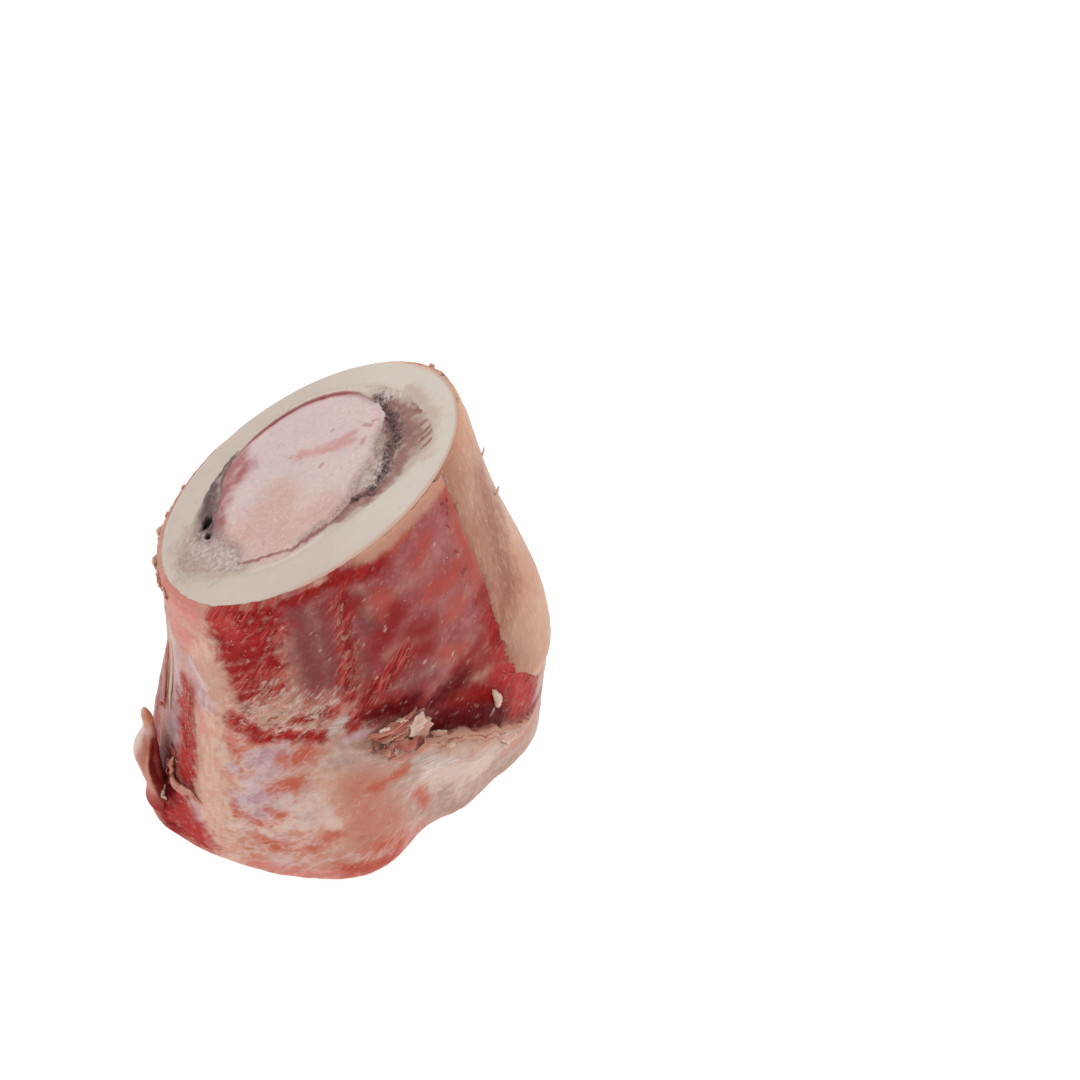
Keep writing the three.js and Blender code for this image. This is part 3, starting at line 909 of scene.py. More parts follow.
def tissues_at(toward, rise):
    """How deep each place lies in each kind of tissue, by name, and in the lip of the ledge."""
    across, up = flat_map(toward, rise)
    depths = {}
    for number, (name, (ragged, size, strokes)) in enumerate(tissue_strokes.items()):
        depths[name] = marks(on_cover(strokes), across, up, ragged, size, 30 + number)
    around = toward % 360
    ledge = np.interp(around, ledge_toward, ledge_rise)
    depths["below_ledge"] = (ledge - rise) * map_height + 0.5 * fibres(across, up, 10, 2, 2.2, 56)
    reach = ease((around - ledge_toward[0]) / 10) * ease((ledge_toward[-1] - around) / 16)
    depths["lip"] = reach * np.exp(-((depths["below_ledge"] - 0.2) ** 2) / 0.6)
    depths["ledge"] = reach
    hollow = ease((around - hollow_toward[0]) / 6) * ease((hollow_toward[1] - around) / 14)
    above = -depths["below_ledge"] + 1.2 * fibres(across, up, 20, 2, 3, 59)
    height = hollow_height[0] + (hollow_height[1] - hollow_height[0]) * ease((around - 302) / 30)
    depths["recess"] = hollow * ease(above / 0.8 + 0.4) * ease((height - above) / 5)
    depths["layers"] = reach * ease((around - 298) / 6)
    return depths


def cover_out(toward, rise, depths):
    """How far the wet surface stands out from the bone, with its fibres, tears and ledge."""
    across, up = flat_map(toward, rise)
    torn = well_in(depths["torn"])
    frayed = well_in(depths["frayed"])
    muscle = well_in(depths["muscle"], 0.7)
    smooth = well_in(depths["membrane"]) * (1 - muscle)
    spots = as_points(across, up)
    streaks = fibres(across, up, 48, 5, 0.9, 51)
    relief = 0.2 * lumps(spots, 8, 2, 52) + 0.1 * lumps(spots, 2.6, 2, 53) * (1 - 0.6 * smooth)
    relief += muscle * (0.14 * streaks - 0.12) + frayed * 0.22 * streaks
    relief += torn * (0.35 + 0.55 * fibres(across, up, 30, 2, 1.2, 54))
    below = depths["below_ledge"]
    step = ease(below / 0.9 + 0.5) * np.exp(-((np.maximum(below, 0) / 7) ** 2))
    hollow = ease(0.5 - below / 0.9) * np.exp(-((np.minimum(below, 0) / 5) ** 2))
    relief += depths["ledge"] * ledge_step * (0.55 * step - 0.5 * hollow)
    relief += 0.2 * well_in(depths["dark"]) * (fibres(across, up, 4, 6, 1.4, 58) - 1.2)
    relief += 0.16 * well_in(depths["sinew"]) * fibres(across, up, -14, 6, 1.6, 57)
    outer = clearance + np.maximum(thinnest_meat, film + swell(meat_forms, toward, rise)) + relief
    covered = ease((in_fat(toward, rise) - 0.4) / 1.6)
    sunk = np.minimum(outer, fat_out(toward, rise) - 0.7)
    outer = outer + (sunk - outer) * covered
    margin = ease((rise - 0.965) / 0.03)
    return np.maximum(outer * (1 - 0.5 * margin) + 0.35 * margin, 0.25)


def crowded(around):
    """Directions round the bone for the covering's columns, which stand closer at the front."""
    spread = np.radians(around - front)
    return front + np.degrees(spread - crowding * np.sin(spread))


bm = turned([(1, 0.008), (2, 0.004), (2, 0.996), (1, 0.998)], [1, cover_up - 1, 2, 8], cover_round)
around, share, rise = polar(np.array([v.co for v in bm.verts]))
toward = crowded(around)
tissues = tissues_at(toward, rise)
across, up = flat_map(toward, rise)
uv_layer = bm.loops.layers.uv.new("fibre")
for face in bm.faces:
    spots = [(across[loop.vert.index], up[loop.vert.index]) for loop in face.loops]
    widest = max(spot[0] for spot in spots)
    for loop, spot in zip(face.loops, spots):
        wrapped = spot[0] + way_round * (widest - spot[0] > way_round / 2)
        loop[uv_layer].uv = (wrapped * MM, spot[1] * MM)


def bend_cover(straight):
    outer = cover_out(toward, rise, tissues)
    ragged = 0.35 * lumps(as_points(across + 3, up * 0), 4, 3, 55) / map_height
    ragged_rise = rise + ragged * ease((rise - 0.9) / 0.09)
    drawn_back = 0.012 * ease((toward % 360 - 20) / 20) * ease((178 - toward % 360) / 20)
    return place(toward, np.minimum(ragged_rise, cover_top - drawn_back), -0.5 + (outer + 0.5) * share)


cover = shape("meat_covering", bm, bend_cover)
for name, values in tissues.items():
    paint(cover, name, values)
# at the right front the tissue fades into the sawn edge through a pale peach band
faded = ease((toward % 360 - 284) / 14) * ease((360 - toward % 360) / 20)
paint(cover, "under_rim", ease((rise - 0.945) / 0.045) * faded)

wet = {"subsurface": 0.3, "radius": (1.6, 0.5, 0.35), "coat": 0.05, "coat_rough": 0.12, "specular": 0.05}
at, shader = finish(cover, "wet_meat", **wet)
flat = at.node("UVMap", {"uv_map": "fibre"})
fine = grain(at, 0.5, 4, 0.6)
middling = grain(at, 2.2, 4, 0.55)
broad = grain(at, 9, 2)
bundles = grain(drawn_out(flat, 47, 5), 1.5, 3, 0.5)
strands = grain(drawn_out(flat, 49, 6), 0.55, 4, 0.6)
rags = grain(drawn_out(flat, 28, 3), 1.3, 5, 0.62)
hairs = grain(drawn_out(flat, 26, 24), 0.3, 3, 0.55)
upright = grain(drawn_out(flat, 86, 8), 0.8, 3)
level = grain(drawn_out(flat, -12, 8), 0.6, 3)

# pale tissue over the foot and down the left
mottling = grain(at, 5, 4, 0.5)
fascia = broad.clipped(0.38, 0.62).mix(tint(196, 144, 124), tint(206, 158, 140))
fascia = (middling.clipped(0.48, 0.7) * 0.55).mix(fascia, tint(216, 182, 168))
fascia = (upright.clipped(0.5, 0.72) * 0.25).mix(fascia, tint(190, 122, 104))
wisps = grain(drawn_out(flat, 38, 2), 3, 5, 0.6)
webbed = (1 - (wisps * 2 - 1).math("ABSOLUTE", 0) * 7).clipped(0.0, 0.9)
mottled = (painted(at, "mottled") + (middling - 0.5) * 0.6).clipped(0.2, 0.8)
fascia = (mottled * 0.5).mix(fascia, tint(206, 144, 120))
fascia = (mottled * mottling.clipped(0.46, 0.64) * 0.6).mix(fascia, tint(198, 106, 76))
fascia = (mottled * (1 - mottling).clipped(0.5, 0.64) * 0.5).mix(fascia, tint(206, 180, 180))
fascia = (mottled * webbed * 0.25).mix(fascia, tint(228, 206, 196))
skin = (patch(at, "pink", middling, 0.5, 0.5) * 0.85).mix(fascia, tint(214, 126, 116))
streaky = (upright * 0.3 + middling * 0.7).clipped(0.4, 0.6).mix(tint(218, 166, 144), tint(226, 190, 168))
skin = (patch(at, "peach", upright * 0.5 + middling * 0.5, 1.0, 0.5) * 0.85).mix(skin, streaky)
cream_sinew = middling.clipped(0.35, 0.65).mix(tint(180, 150, 136), tint(202, 174, 160))
cream_sinew = (level.clipped(0.45, 0.7) * 0.5).mix(cream_sinew, tint(176, 134, 118))
skin = laid_over(skin, at, [
    ("sinew", middling, 0.5, 0.5, 0.9, cream_sinew),
    ("salmon", middling, 0.5, 0.5, 0.8, tint(196, 124, 102)),
])
lilac = middling.clipped(0.4, 0.6).mix(tint(186, 150, 160), tint(206, 182, 190))
skin = laid_over(skin, at, [
    ("lilac", mottling, 1.6, 0.5, 0.8, lilac),
    ("cream", mottling, 2.0, 0.45, 0.7, tint(224, 198, 184)),
    ("orange", middling * 0.6 + strands * 0.4, 1.4, 0.5, 0.85, tint(194, 88, 60)),
])
skin = (mottled * webbed * 0.22).mix(skin, tint(226, 206, 202))
layers = (painted(at, "below_ledge") * 7 + middling * 10).math("SINE", 0) * 0.5 + 0.5
layered = painted(at, "layers") * painted(at, "below_ledge").clipped(-0.4, 0.2)
layered = layered * (1 - painted(at, "below_ledge").clipped(0.8, 3.0))
# thin membrane, with the muscle shining through
rose = broad.clipped(0.35, 0.65).mix(tint(148, 58, 57), tint(162, 78, 77))
rose = (middling.clipped(0.42, 0.7) * 0.6).mix(rose, tint(188, 116, 118))
rose = (hairs.clipped(0.45, 0.95) * 0.3).mix(rose, tint(206, 158, 160))
rose = (patch(at, "mauve", middling, 0.4, 0.45) * 0.9).mix(rose, tint(130, 62, 60))
skin = patch(at, "membrane", middling, 0.5, 0.45).mix(skin, rose)
skin = laid_over(skin, at, [
    ("ember", middling, 1.2, 0.5, 0.7, tint(184, 72, 52)),
    ("flush", middling * 0.6 + bundles * 0.4, 1.0, 0.5, 0.9, tint(144, 20, 20)),
])
# bare muscle, its fibres veiled by pale streaks that grow denser where it is frayed
flesh = bundles.clipped(0.35, 0.65).mix(tint(136, 10, 12), tint(166, 28, 26))
veil = (bundles * 0.4 + strands * 0.6 + painted(at, "frayed") * 0.12).clipped(0.56, 0.74)
flesh = (veil * 0.7).mix(flesh, tint(206, 112, 98))
skin = patch(at, "muscle", bundles * 0.6 + strands * 0.4, 1.2, 0.4).mix(skin, flesh)
skin = laid_over(skin, at, [
    ("scarlet", middling, 0.8, 0.5, 0.55, tint(200, 66, 60)),
    # painted shade in slits, behind the flap and on shadowed muscle
    ("dark", middling, 0.6, 0.5, 0.98, tint(98, 8, 12)),
])
# painted shade over the muscle's own dark red in the hollow over the ledge: darkest next to the ledge, redder
# higher up
lit = 1 - (painted(at, "below_ledge") + middling * 3).clipped(-6, -1)
hollow_shade = lit.mix(tint(88, 2, 8), tint(138, 16, 16))
hollow_shade = (level.clipped(0.5, 0.8) * 0.3).mix(hollow_shade, tint(150, 56, 54))
skin = patch(at, "recess", middling, 0.8, 0.45).mix(skin, hollow_shade)
fray = patch(at, "frayed", middling, 0.5, 0.35) * (strands * 0.5 + rags * 0.5).clipped(0.5, 0.66)
fray = fray * (1 - (painted(at, "dark") + painted(at, "recess")).clipped(0.2, 0.6))
skin = (fray * 0.6).mix(skin, tint(202, 132, 114))
torn = (middling * 0.4 + rags * 0.6).clipped(0.42, 0.58).mix(tint(188, 116, 104), tint(222, 190, 176))
clumps = patch(at, "torn", rags, 2.4, 0.3) * (rags * 0.5 + strands * 0.5).clipped(0.4, 0.56)
skin = (clumps * 0.8).mix(skin, torn)
layers = (layers * 0.5 + middling).clipped(0.35, 0.85)
skin = (layered * 0.85).mix(skin, layers.mix(tint(150, 72, 60), tint(204, 156, 134)))
skin = (painted(at, "lip") * middling.clipped(0.4, 0.65) * 0.5).mix(skin, tint(196, 148, 130))
rim_band = (painted(at, "under_rim") + (middling - 0.5) * 0.9).clipped(0.25, 0.95)
skin = (rim_band * 0.8).mix(skin, tint(208, 160, 136))
gleam = level.clipped(0.35, 0.6).mix(tint(178, 152, 146), tint(222, 210, 207))
skin = (patch(at, "silver", level, 1.0, 0.45) * 0.65).mix(skin, gleam)
specks = grain(at, 0.28, 1).clipped(0.76, 0.82)
skin = (specks * 0.35).mix(skin, tint(226, 196, 184))
rough = 0.22 + middling * 0.3
relief = fine * 0.5 + strands * 0.8 + middling * 0.5 + rags * 0.4
connect(shader, skin, rough, relief, 0.24)
gloss = patch(at, "membrane", middling, 0.5, 0.4) * 0.12 + painted(at, "sinew") * 0.1 + 0.04
gloss = gloss * (1 - (painted(at, "recess") + painted(at, "dark")).clipped(0, 1))
gloss.socket.id_data.links.new(gloss.socket, shader.inputs["Coat Weight"])
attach(cover, "root")
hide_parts("meat")

# Torn shreds
# Where the knife tore the meat away, short ends of fibre and fat curl off the surface. Most lie along the
# fibres, pink or cream, and a few hang as tags from the rim of the cut and the edge of the fat.


def through(knots, share):
    """Rows on a smooth curve through evenly spread knots, at shares from 0 to 1 of its length."""
    knots = np.array(knots, float)
    padded = np.concatenate([2 * knots[:1] - knots[1:2], knots, 2 * knots[-1:] - knots[-2:-1]])
    spot = np.clip(share, 0, 1) * (len(knots) - 1)
    first = np.minimum(spot.astype(int), len(knots) - 2)
    part = (spot - first)[:, None]
    before, start, end, after = (padded[first + step] for step in range(4))
    bowed = (2 * before - 5 * start + 4 * end - after) * part**2
    turning = (3 * start - 3 * end + after - before) * part**3
    return 0.5 * (2 * start + (end - before) * part + bowed + turning)


def unit(rows):
    return rows / np.maximum(np.linalg.norm(rows, axis=-1, keepdims=True), 1e-9)


def shreds(name, laid, sides, rings, seed, crumple=0.12, ragged=0.5, lean=(0, 0)):
    """Shreds of tissue in one mesh, each a closed form drawn out along its knots.

    Each is laid as a tone from 0 to 1 and its knots. A knot is a direction, a rise, a height over the
    covering, a half width and a half thickness. Each leans over by an angle between two.
    """
    one = bmesh.new()
    bmesh.ops.create_uvsphere(one, u_segments=sides, v_segments=rings, radius=1)
    ball = bpy.data.meshes.new("one_shred")
    one.to_mesh(ball)
    one.free()
    bm = bmesh.new()
    for _ in laid:
        bm.from_mesh(ball)
    bpy.data.meshes.remove(ball)
    balls = np.array([vert.co for vert in bm.verts]).reshape(len(laid), -1, 3)
    levels = (1 - np.cos(np.linspace(0, math.pi, rings + 1))) / 2
    rows = np.stack([through(knots, levels) for _, knots in laid])
    toward, rise, over, half_width, half_thick = np.moveaxis(rows, -1, 0)
    toward, rise = toward.ravel(), rise.ravel()
    out = cover_out(toward, rise, tissues_at(toward, rise)) + over.ravel()
    middle = place(toward, rise, out).reshape(len(laid), -1, 3)
    higher = place(toward, rise, out + 1).reshape(len(laid), -1, 3)
    along = unit(np.gradient(middle, axis=1))
    aside = unit(np.cross(higher - middle, along))
    thick = np.cross(along, aside)
    tilt = np.radians(np.random.default_rng(seed).uniform(*lean, len(laid)))[:, None, None]
    aside, thick = aside * np.cos(tilt) + thick * np.sin(tilt), thick * np.cos(tilt) - aside * np.sin(tilt)
    ring_of = np.rint(np.arccos(np.clip(-balls[0, :, 2], -1, 1)) / math.pi * rings).astype(int)
    turn = np.arctan2(balls[..., 1], balls[..., 0])
    plump = np.hypot(balls[..., 0], balls[..., 1]) ** 0.5
    number = np.arange(len(laid))[:, None] * np.ones(balls.shape[1])
    level = np.broadcast_to(levels[ring_of], plump.shape)
    spots = np.stack([level * 9, np.cos(turn), 5.3 * number], -1).reshape(-1, 3)
    fray = lumps(spots, 1.4, 2, seed).reshape(plump.shape)
    fold = lumps(spots + 40, 2.2, 2, seed).reshape(plump.shape)
    wide = half_width[:, ring_of] * plump * np.cos(turn) * (1 + ragged * fray)
    deep = half_thick[:, ring_of] * plump * np.sin(turn) + crumple * fold * plump
    moved = middle[:, ring_of] + aside[:, ring_of] * wide[..., None] + thick[:, ring_of] * deep[..., None]
    made = shape(name, bm, lambda straight: moved.reshape(-1, 3))
    tones = np.array([tone for tone, _ in laid])[:, None] + 0.12 * fray
    paint(made, "tone", np.clip(tones, 0, 1).ravel())
    paint(made, "tip", level.ravel())
    # painted light: the edges of each shred, which its finish paints lighter
    paint(made, "lit_edge", np.abs(np.cos(turn)).ravel() ** 3)
    return made


def scattered(count, toward_span, rise_span, angle, spread, length, width, tones, height, seed):
    """Small shreds laid at random in a patch of the covering, mostly along one angle of the flat map."""
    draw = random.Random(seed)
    made = []
    for _ in range(count):
        toward, rise = draw.uniform(*toward_span), draw.uniform(*rise_span)
        run = draw.uniform(*length)
        slope = math.radians(draw.gauss(angle, spread))
        across = math.degrees(run * math.cos(slope) / map_radius) / 2
        up = run * math.sin(slope) / map_height / 2
        sway = draw.uniform(-0.4, 0.4)
        half, arch = draw.uniform(*width), draw.uniform(*height)
        thick = min(half * 0.45, 0.16)
        knots = [
            (toward - across, rise - up, -0.1, half, thick),
            (toward - sway * across, rise + sway * up, arch * 0.6, half, thick),
            (toward + across, rise + up, arch * draw.uniform(-0.2, 1), half * 0.7, thick),
        ]
        made.append((draw.uniform(*tones), knots))
    return made


# each patch: how many, its directions and rises, the fibres' angle and its spread, the shreds' length and
# half width, their tones, and how high they stand
shred_patches = [
    (30, (240, 271), (0.56, 0.68), 30, 16, (1.2, 3.2), (0.3, 0.6), (0.4, 0.8), (-0.2, 0.15), 1),
    (14, (242, 258), (0.68, 0.92), 46, 8, (2.0, 4.0), (0.1, 0.22), (0.3, 0.5), (-0.12, 0.05), 2),
    (26, (278, 284), (0.62, 0.93), 52, 22, (1.0, 2.4), (0.2, 0.4), (0.2, 0.5), (-0.1, 0.15), 3),
    (14, (281, 301), (0.57, 0.66), 42, 12, (1.2, 2.6), (0.15, 0.3), (0.2, 0.45), (-0.1, 0.1), 4),
    (36, (211, 219), (0.29, 0.6), -72, 10, (1.0, 2.6), (0.1, 0.22), (0.3, 0.7), (-0.1, 0.15), 5),
    (18, (204, 212), (0.14, 0.3), 20, 50, (1.2, 2.6), (0.3, 0.7), (0.1, 0.5), (0.1, 0.6), 6),
    (14, (336, 350), (0.24, 0.4), -50, 20, (1.5, 3.5), (0.1, 0.22), (0.1, 0.35), (-0.1, 0.15), 8),
    (16, (328, 332), (0.6, 0.95), -80, 18, (0.8, 1.8), (0.15, 0.3), (0.1, 0.35), (-0.1, 0.15), 9),
    (70, (150, 206), (0.93, 0.985), 40, 50, (0.8, 2.0), (0.25, 0.6), (0.5, 0.9), (0.1, 0.6), 10),
    (40, (20, 160), (0.93, 0.98), 60, 40, (0.8, 2.2), (0.15, 0.35), (0.3, 0.6), (-0.1, 0.35), 11),
    (50, (60, 190), (0.3, 0.8), 50, 30, (2.0, 5.0), (0.15, 0.5), (0.2, 0.6), (-0.1, 0.25), 12),
]
laid = [shred for patch_values in shred_patches for shred in scattered(*patch_values)]
# tags on the rim of the cut and on the fat, seen against the table
laid += [
    (0.95, [(169, 0.962, 0, 0.9, 0.3), (171, 0.974, 0.4, 1.2, 0.3), (173, 0.982, 0.6, 0.8, 0.2)]),
    (0.95, [(183, 0.955, 0, 0.9, 0.3), (185.5, 0.968, 0.4, 1.3, 0.3), (188, 0.976, 0.6, 0.8, 0.2)]),
    (0.9, [(42, 0.97, 0, 0.7, 0.3), (40.5, 0.979, 0.4, 0.8, 0.3), (39, 0.986, 0.6, 0.5, 0.2)]),
    (0.85, [(30, 0.97, 0, 0.6, 0.3), (29, 0.979, 0.3, 0.7, 0.3), (28, 0.985, 0.6, 0.5, 0.2)]),
    (0.85, [(12, 0.803, 0.7, 0.6, 0.2), (12.5, 0.812, 1.2, 0.6, 0.2), (13.5, 0.817, 1.5, 0.3, 0.15)]),
    (0.9, [(6, 0.712, 0.7, 0.9, 0.25), (6.8, 0.721, 1.3, 0.9, 0.25), (7.8, 0.726, 1.8, 0.5, 0.15)]),
    (0.4, [(193, 0.36, 0, 0.5, 0.4), (193, 0.375, 0.9, 0.4, 0.4), (192, 0.37, 1.6, 0.2, 0.2)]),
]
# pale strands of sinew down the left side
laid += [
    (0.8, [(200, 0.74, -0.1, 0.3, 0.2), (199, 0.62, 0.1, 0.6, 0.3), (199, 0.5, 0.2, 0.6, 0.3),
           (200, 0.38, -0.1, 0.3, 0.2)]),
    (0.45, [(193, 0.66, 0, 0.4, 0.3), (192, 0.55, 0.5, 0.7, 0.4), (193, 0.45, 0.5, 0.7, 0.4),
            (195, 0.36, 0, 0.3, 0.3)]),
]
torn_shreds = shreds("torn_shreds", laid, 8, 9, 70)


def torn_finish(piece, name):
    """Torn tissue: red at tone 0, through brownish pink, to cream at tone 1; redder at its root, painted
    light on its edges.
    """
    at, shader = finish(piece, name, 0.35, (1.8, 0.8, 0.6), 0.05, 0.15, 0.1)
    fine = grain(at, 0.35, 3, 0.6)
    middling = grain(at, 1.5, 3)
    # painted light: lighter along each shred's edges
    tone = painted(at, "tone") + (fine - 0.5) * 0.3 + (middling - 0.5) * 0.3 + painted(at, "lit_edge") * 0.22
    colour = tone.clipped(0.05, 0.4).mix(tint(136, 20, 20), tint(176, 88, 76))
    colour = tone.clipped(0.35, 0.7).mix(colour, tint(196, 142, 124))
    colour = tone.clipped(0.65, 1.0).mix(colour, tint(218, 188, 170))
    root = 1 - painted(at, "tip").clipped(0, 0.3)
    colour = (root * 0.3).mix(colour, tint(186, 98, 84))
    connect(shader, colour, 0.3 + fine * 0.3, fine * 0.6 + middling * 0.5, 0.15)


torn_finish(torn_shreds, "torn_fibre")
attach(torn_shreds, "root")

# Torn crest and ledge
# Along the upper edge of the sinew a crest of fat stands up in crumpled flakes with dark slits between
# them, and past it the edge runs on to the right in onion-like layers over the hollow.
crest_rows = 9
crest_rises = (0.375, 0.468)
draw = random.Random(23)
laid = []
for row in range(crest_rows):
    share = row / (crest_rows - 1)
    rise = crest_rises[0] + (crest_rises[1] - crest_rises[0]) * share
    start = 288 - 6 * share + draw.uniform(-1.5, 1.5)
    end = 299 + 2 * share + draw.uniform(-2, 1.5)
    knots = []
    for step in (0, 0.2, 0.4, 0.6, 0.8, 1):
        middle = math.sin(math.pi * (0.08 + 0.84 * step)) ** 0.6
        over = (0.3 + 2.2 * share * (0.3 + 0.7 * step) + draw.uniform(-0.25, 0.3)) * middle
        half = draw.uniform(0.5, 0.95) * middle
        lift = 0.014 * step + draw.uniform(-0.004, 0.004)
        knots.append((start + (end - start) * step, rise + lift, over, half, draw.uniform(0.1, 0.2)))
    laid.append((draw.uniform(0.4, 0.7), knots))
# small white flakes along the crest's top
laid += [
    (0.9, [(295, 0.478, 2.0, 0.5, 0.15), (293.5, 0.49, 2.3, 0.7, 0.12), (291.5, 0.494, 2.0, 0.4, 0.1)]),
    (0.95, [(289, 0.476, 1.5, 0.4, 0.15), (287.5, 0.487, 1.8, 0.6, 0.12), (285.5, 0.489, 1.5, 0.4, 0.1)]),
]
torn_crest = shreds("torn_crest", laid, 20, 40, 71, 0.35, 0.8, (-75, 5))
# tall flakes at the crest's right end, folds at its foot, fat along the ledge, and short shreds
laid = [
    (0.85, [(298.5, 0.385, 1.0, 1.0, 0.2), (298.5, 0.41, 1.9, 1.7, 0.16), (298.5, 0.44, 2.5, 1.9, 0.14),
            (299.5, 0.462, 2.7, 1.4, 0.12), (301, 0.475, 2.5, 0.6, 0.12)]),
    (0.65, [(301.5, 0.365, 0.6, 0.9, 0.2), (302, 0.39, 1.4, 1.4, 0.16), (302.5, 0.42, 1.8, 1.2, 0.14),
            (303, 0.44, 1.8, 0.6, 0.12)]),
    (0.6, [(294, 0.366, 0.2, 0.6, 0.3), (297, 0.36, 0.8, 1.0, 0.4), (300, 0.36, 0.9, 1.0, 0.4),
           (302, 0.364, 0.3, 0.5, 0.3)]),
    (0.75, [(305, 0.358, 0, 0.4, 0.25), (307, 0.352, 0.6, 0.7, 0.35), (309, 0.346, 0.5, 0.6, 0.35),
            (311, 0.34, 0.1, 0.3, 0.2)]),
    (0.9, [(308, 0.327, 0.5, 0.3, 0.3), (309.6, 0.321, 0.9, 0.6, 0.5), (311.2, 0.316, 0.6, 0.3, 0.3)]),
    (0.8, [(328, 0.232, 0, 0.4, 0.2), (331, 0.216, 0.3, 0.9, 0.25), (334, 0.2, 0.35, 1.2, 0.3),
           (337, 0.184, 0.3, 1.0, 0.25), (339, 0.172, 0, 0.4, 0.2)]),
    (0.75, [(331, 0.2, 0, 0.4, 0.2), (333.5, 0.18, 0.3, 0.8, 0.25), (336, 0.162, 0, 0.4, 0.2)]),
]
laid += scattered(26, (287, 302), (0.395, 0.47), 14, 40, (0.8, 2.0), (0.3, 0.7), (0.4, 0.85), (0.3, 1.8), 21)
laid += scattered(12, (281, 290), (0.42, 0.47), 20, 40, (0.8, 2.0), (0.3, 0.6), (0.5, 0.8), (0.0, 0.4), 22)
# the bed of torn fat that the crest stands on
laid += [
    (0.45, [(285, 0.418, 0, 0.9, 0.3), (289, 0.405, 0.4, 1.6, 0.5), (293, 0.392, 0.6, 1.9, 0.6),
            (297, 0.38, 0.6, 1.9, 0.6), (301, 0.37, 0.4, 1.4, 0.5), (305, 0.358, 0, 0.6, 0.3)]),
    (0.6, [(287, 0.385, 0, 0.6, 0.3), (291, 0.378, 0.5, 1.2, 0.4), (295, 0.368, 0.6, 1.3, 0.4),
           (299, 0.358, 0, 0.6, 0.3)]),
]
ledge_folds = shreds("ledge_folds", laid, 16, 22, 74, 0.25, 0.6, (-20, 10))
torn_finish(ledge_folds, "folded_fat")
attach(ledge_folds, "root")
torn_finish(torn_crest, "crumpled_fat")
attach(torn_crest, "root")

# Loose bits
# A curl of fat lies over the red foot at the left, a white grain of fat hangs in the hollow at the right,
# and bone dust and crumbs from the saw cling to the wet meat.
laid = [
    (0.55, [(210, 0.195, 0.3, 0.8, 0.5), (213, 0.212, 1.1, 1.2, 0.7), (217, 0.226, 1.2, 1.2, 0.6),
            (221, 0.232, 0.8, 0.8, 0.5), (226, 0.222, 0.1, 0.3, 0.3)]),
    (0.5, [(208, 0.275, 0.3, 0.6, 0.4), (209.5, 0.25, 1.0, 0.9, 0.5), (210.5, 0.21, 0.5, 0.7, 0.4)]),
    (1.0, [(332, 0.352, 0.2, 0.5, 0.4), (332.4, 0.325, 0.9, 1.05, 0.8), (332.6, 0.297, 0.4, 0.6, 0.5)]),
    (0.9, [(206.5, 0.13, 0.4, 0.5, 0.4), (208, 0.11, 0.8, 0.8, 0.5), (210, 0.1, 0.3, 0.5, 0.3)]),
]
fat_bits = shreds("fat_bits", laid, 20, 24, 72, 0.28, 0.8)
torn_finish(fat_bits, "soft_fat")
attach(fat_bits, "root")


def crumbs(name, spots, sizes, seed):
    """Rough grains in one mesh, each a lumpy ball of a size in millimetres at its own place."""
    bm = bmesh.new()
    for number, (spot, size) in enumerate(zip(spots, sizes)):
        grain_verts = bmesh.ops.create_icosphere(bm, subdivisions=1, radius=size / 2)["verts"]
        corners = np.array([vert.co for vert in grain_verts])
        swollen = corners * (1 + 0.5 * lumps(corners + 7 * number, size, 2, seed))[:, None]
        for vert, corner in zip(grain_verts, (swollen * (1, 1, 0.7) + spot).tolist()):
            vert.co = corner
    bmesh.ops.recalc_face_normals(bm, faces=bm.faces[:])
    return shape(name, bm)


draw = random.Random(31)
# each patch of dust: its directions and rises, and how many grains
dust_patches = [
    ((236, 262), (0.6, 0.97), 30), ((262, 330), (0.5, 0.97), 24), ((205, 236), (0.3, 0.97), 40),
    ((240, 340), (0.05, 0.45), 40), ((340, 30), (0.3, 0.9), 40), ((30, 205), (0.1, 0.97), 100),
]
rows = []
for toward_span, rise_span, count in dust_patches:
    turn = (toward_span[1] - toward_span[0]) % 360
    rows += [(toward_span[0] + turn * draw.random(), draw.uniform(*rise_span), 0.05) for _ in range(count)]
toward, rise, over = np.array(rows).T
over[in_fat(toward, rise) > 0.5] += 0.7
dust_spots = place(toward, rise, cover_out(toward, rise, tissues_at(toward, rise)) + over)
dust_sizes = [draw.uniform(0.12, 0.3) for _ in rows]
bone_dust = crumbs("bone_dust", dust_spots, dust_sizes, 73)
at, shader = finish(bone_dust, "saw_dust", 0.3, (0.8, 0.6, 0.5), 0.1, 0.2, 0.3)
pale = grain(at, 2, 2).clipped(0.35, 0.65).mix(tint(214, 176, 162), tint(236, 222, 212))
connect(shader, pale, 0.3 + grain(at, 0.2, 2) * 0.4, grain(at, 0.15, 2), 0.05)
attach(bone_dust, "root")

# Flap
# A fold of meat peels off the foot at the left and stands up beside it. Its outside is smooth cream fat,
# rolled over at the rim, its inside is dark muscle, and its tip curls over in a small tongue.
flap_toward = 204
# each station: x, y and z of the middle line, and the width and thickness
flap_stations = [
    (-38.8, -19, 0.7, 9, 4.4),
    (-39, -17.2, 6, 7.6, 3.6),
    (-40.4, -15.8, 13, 9, 5),
    (-39.6, -14.4, 19.4, 4.8, 2.4),
    (-40.3, -13.4, 24.2, 4, 2.2),
]
flap_round = 96
flap_along = 150

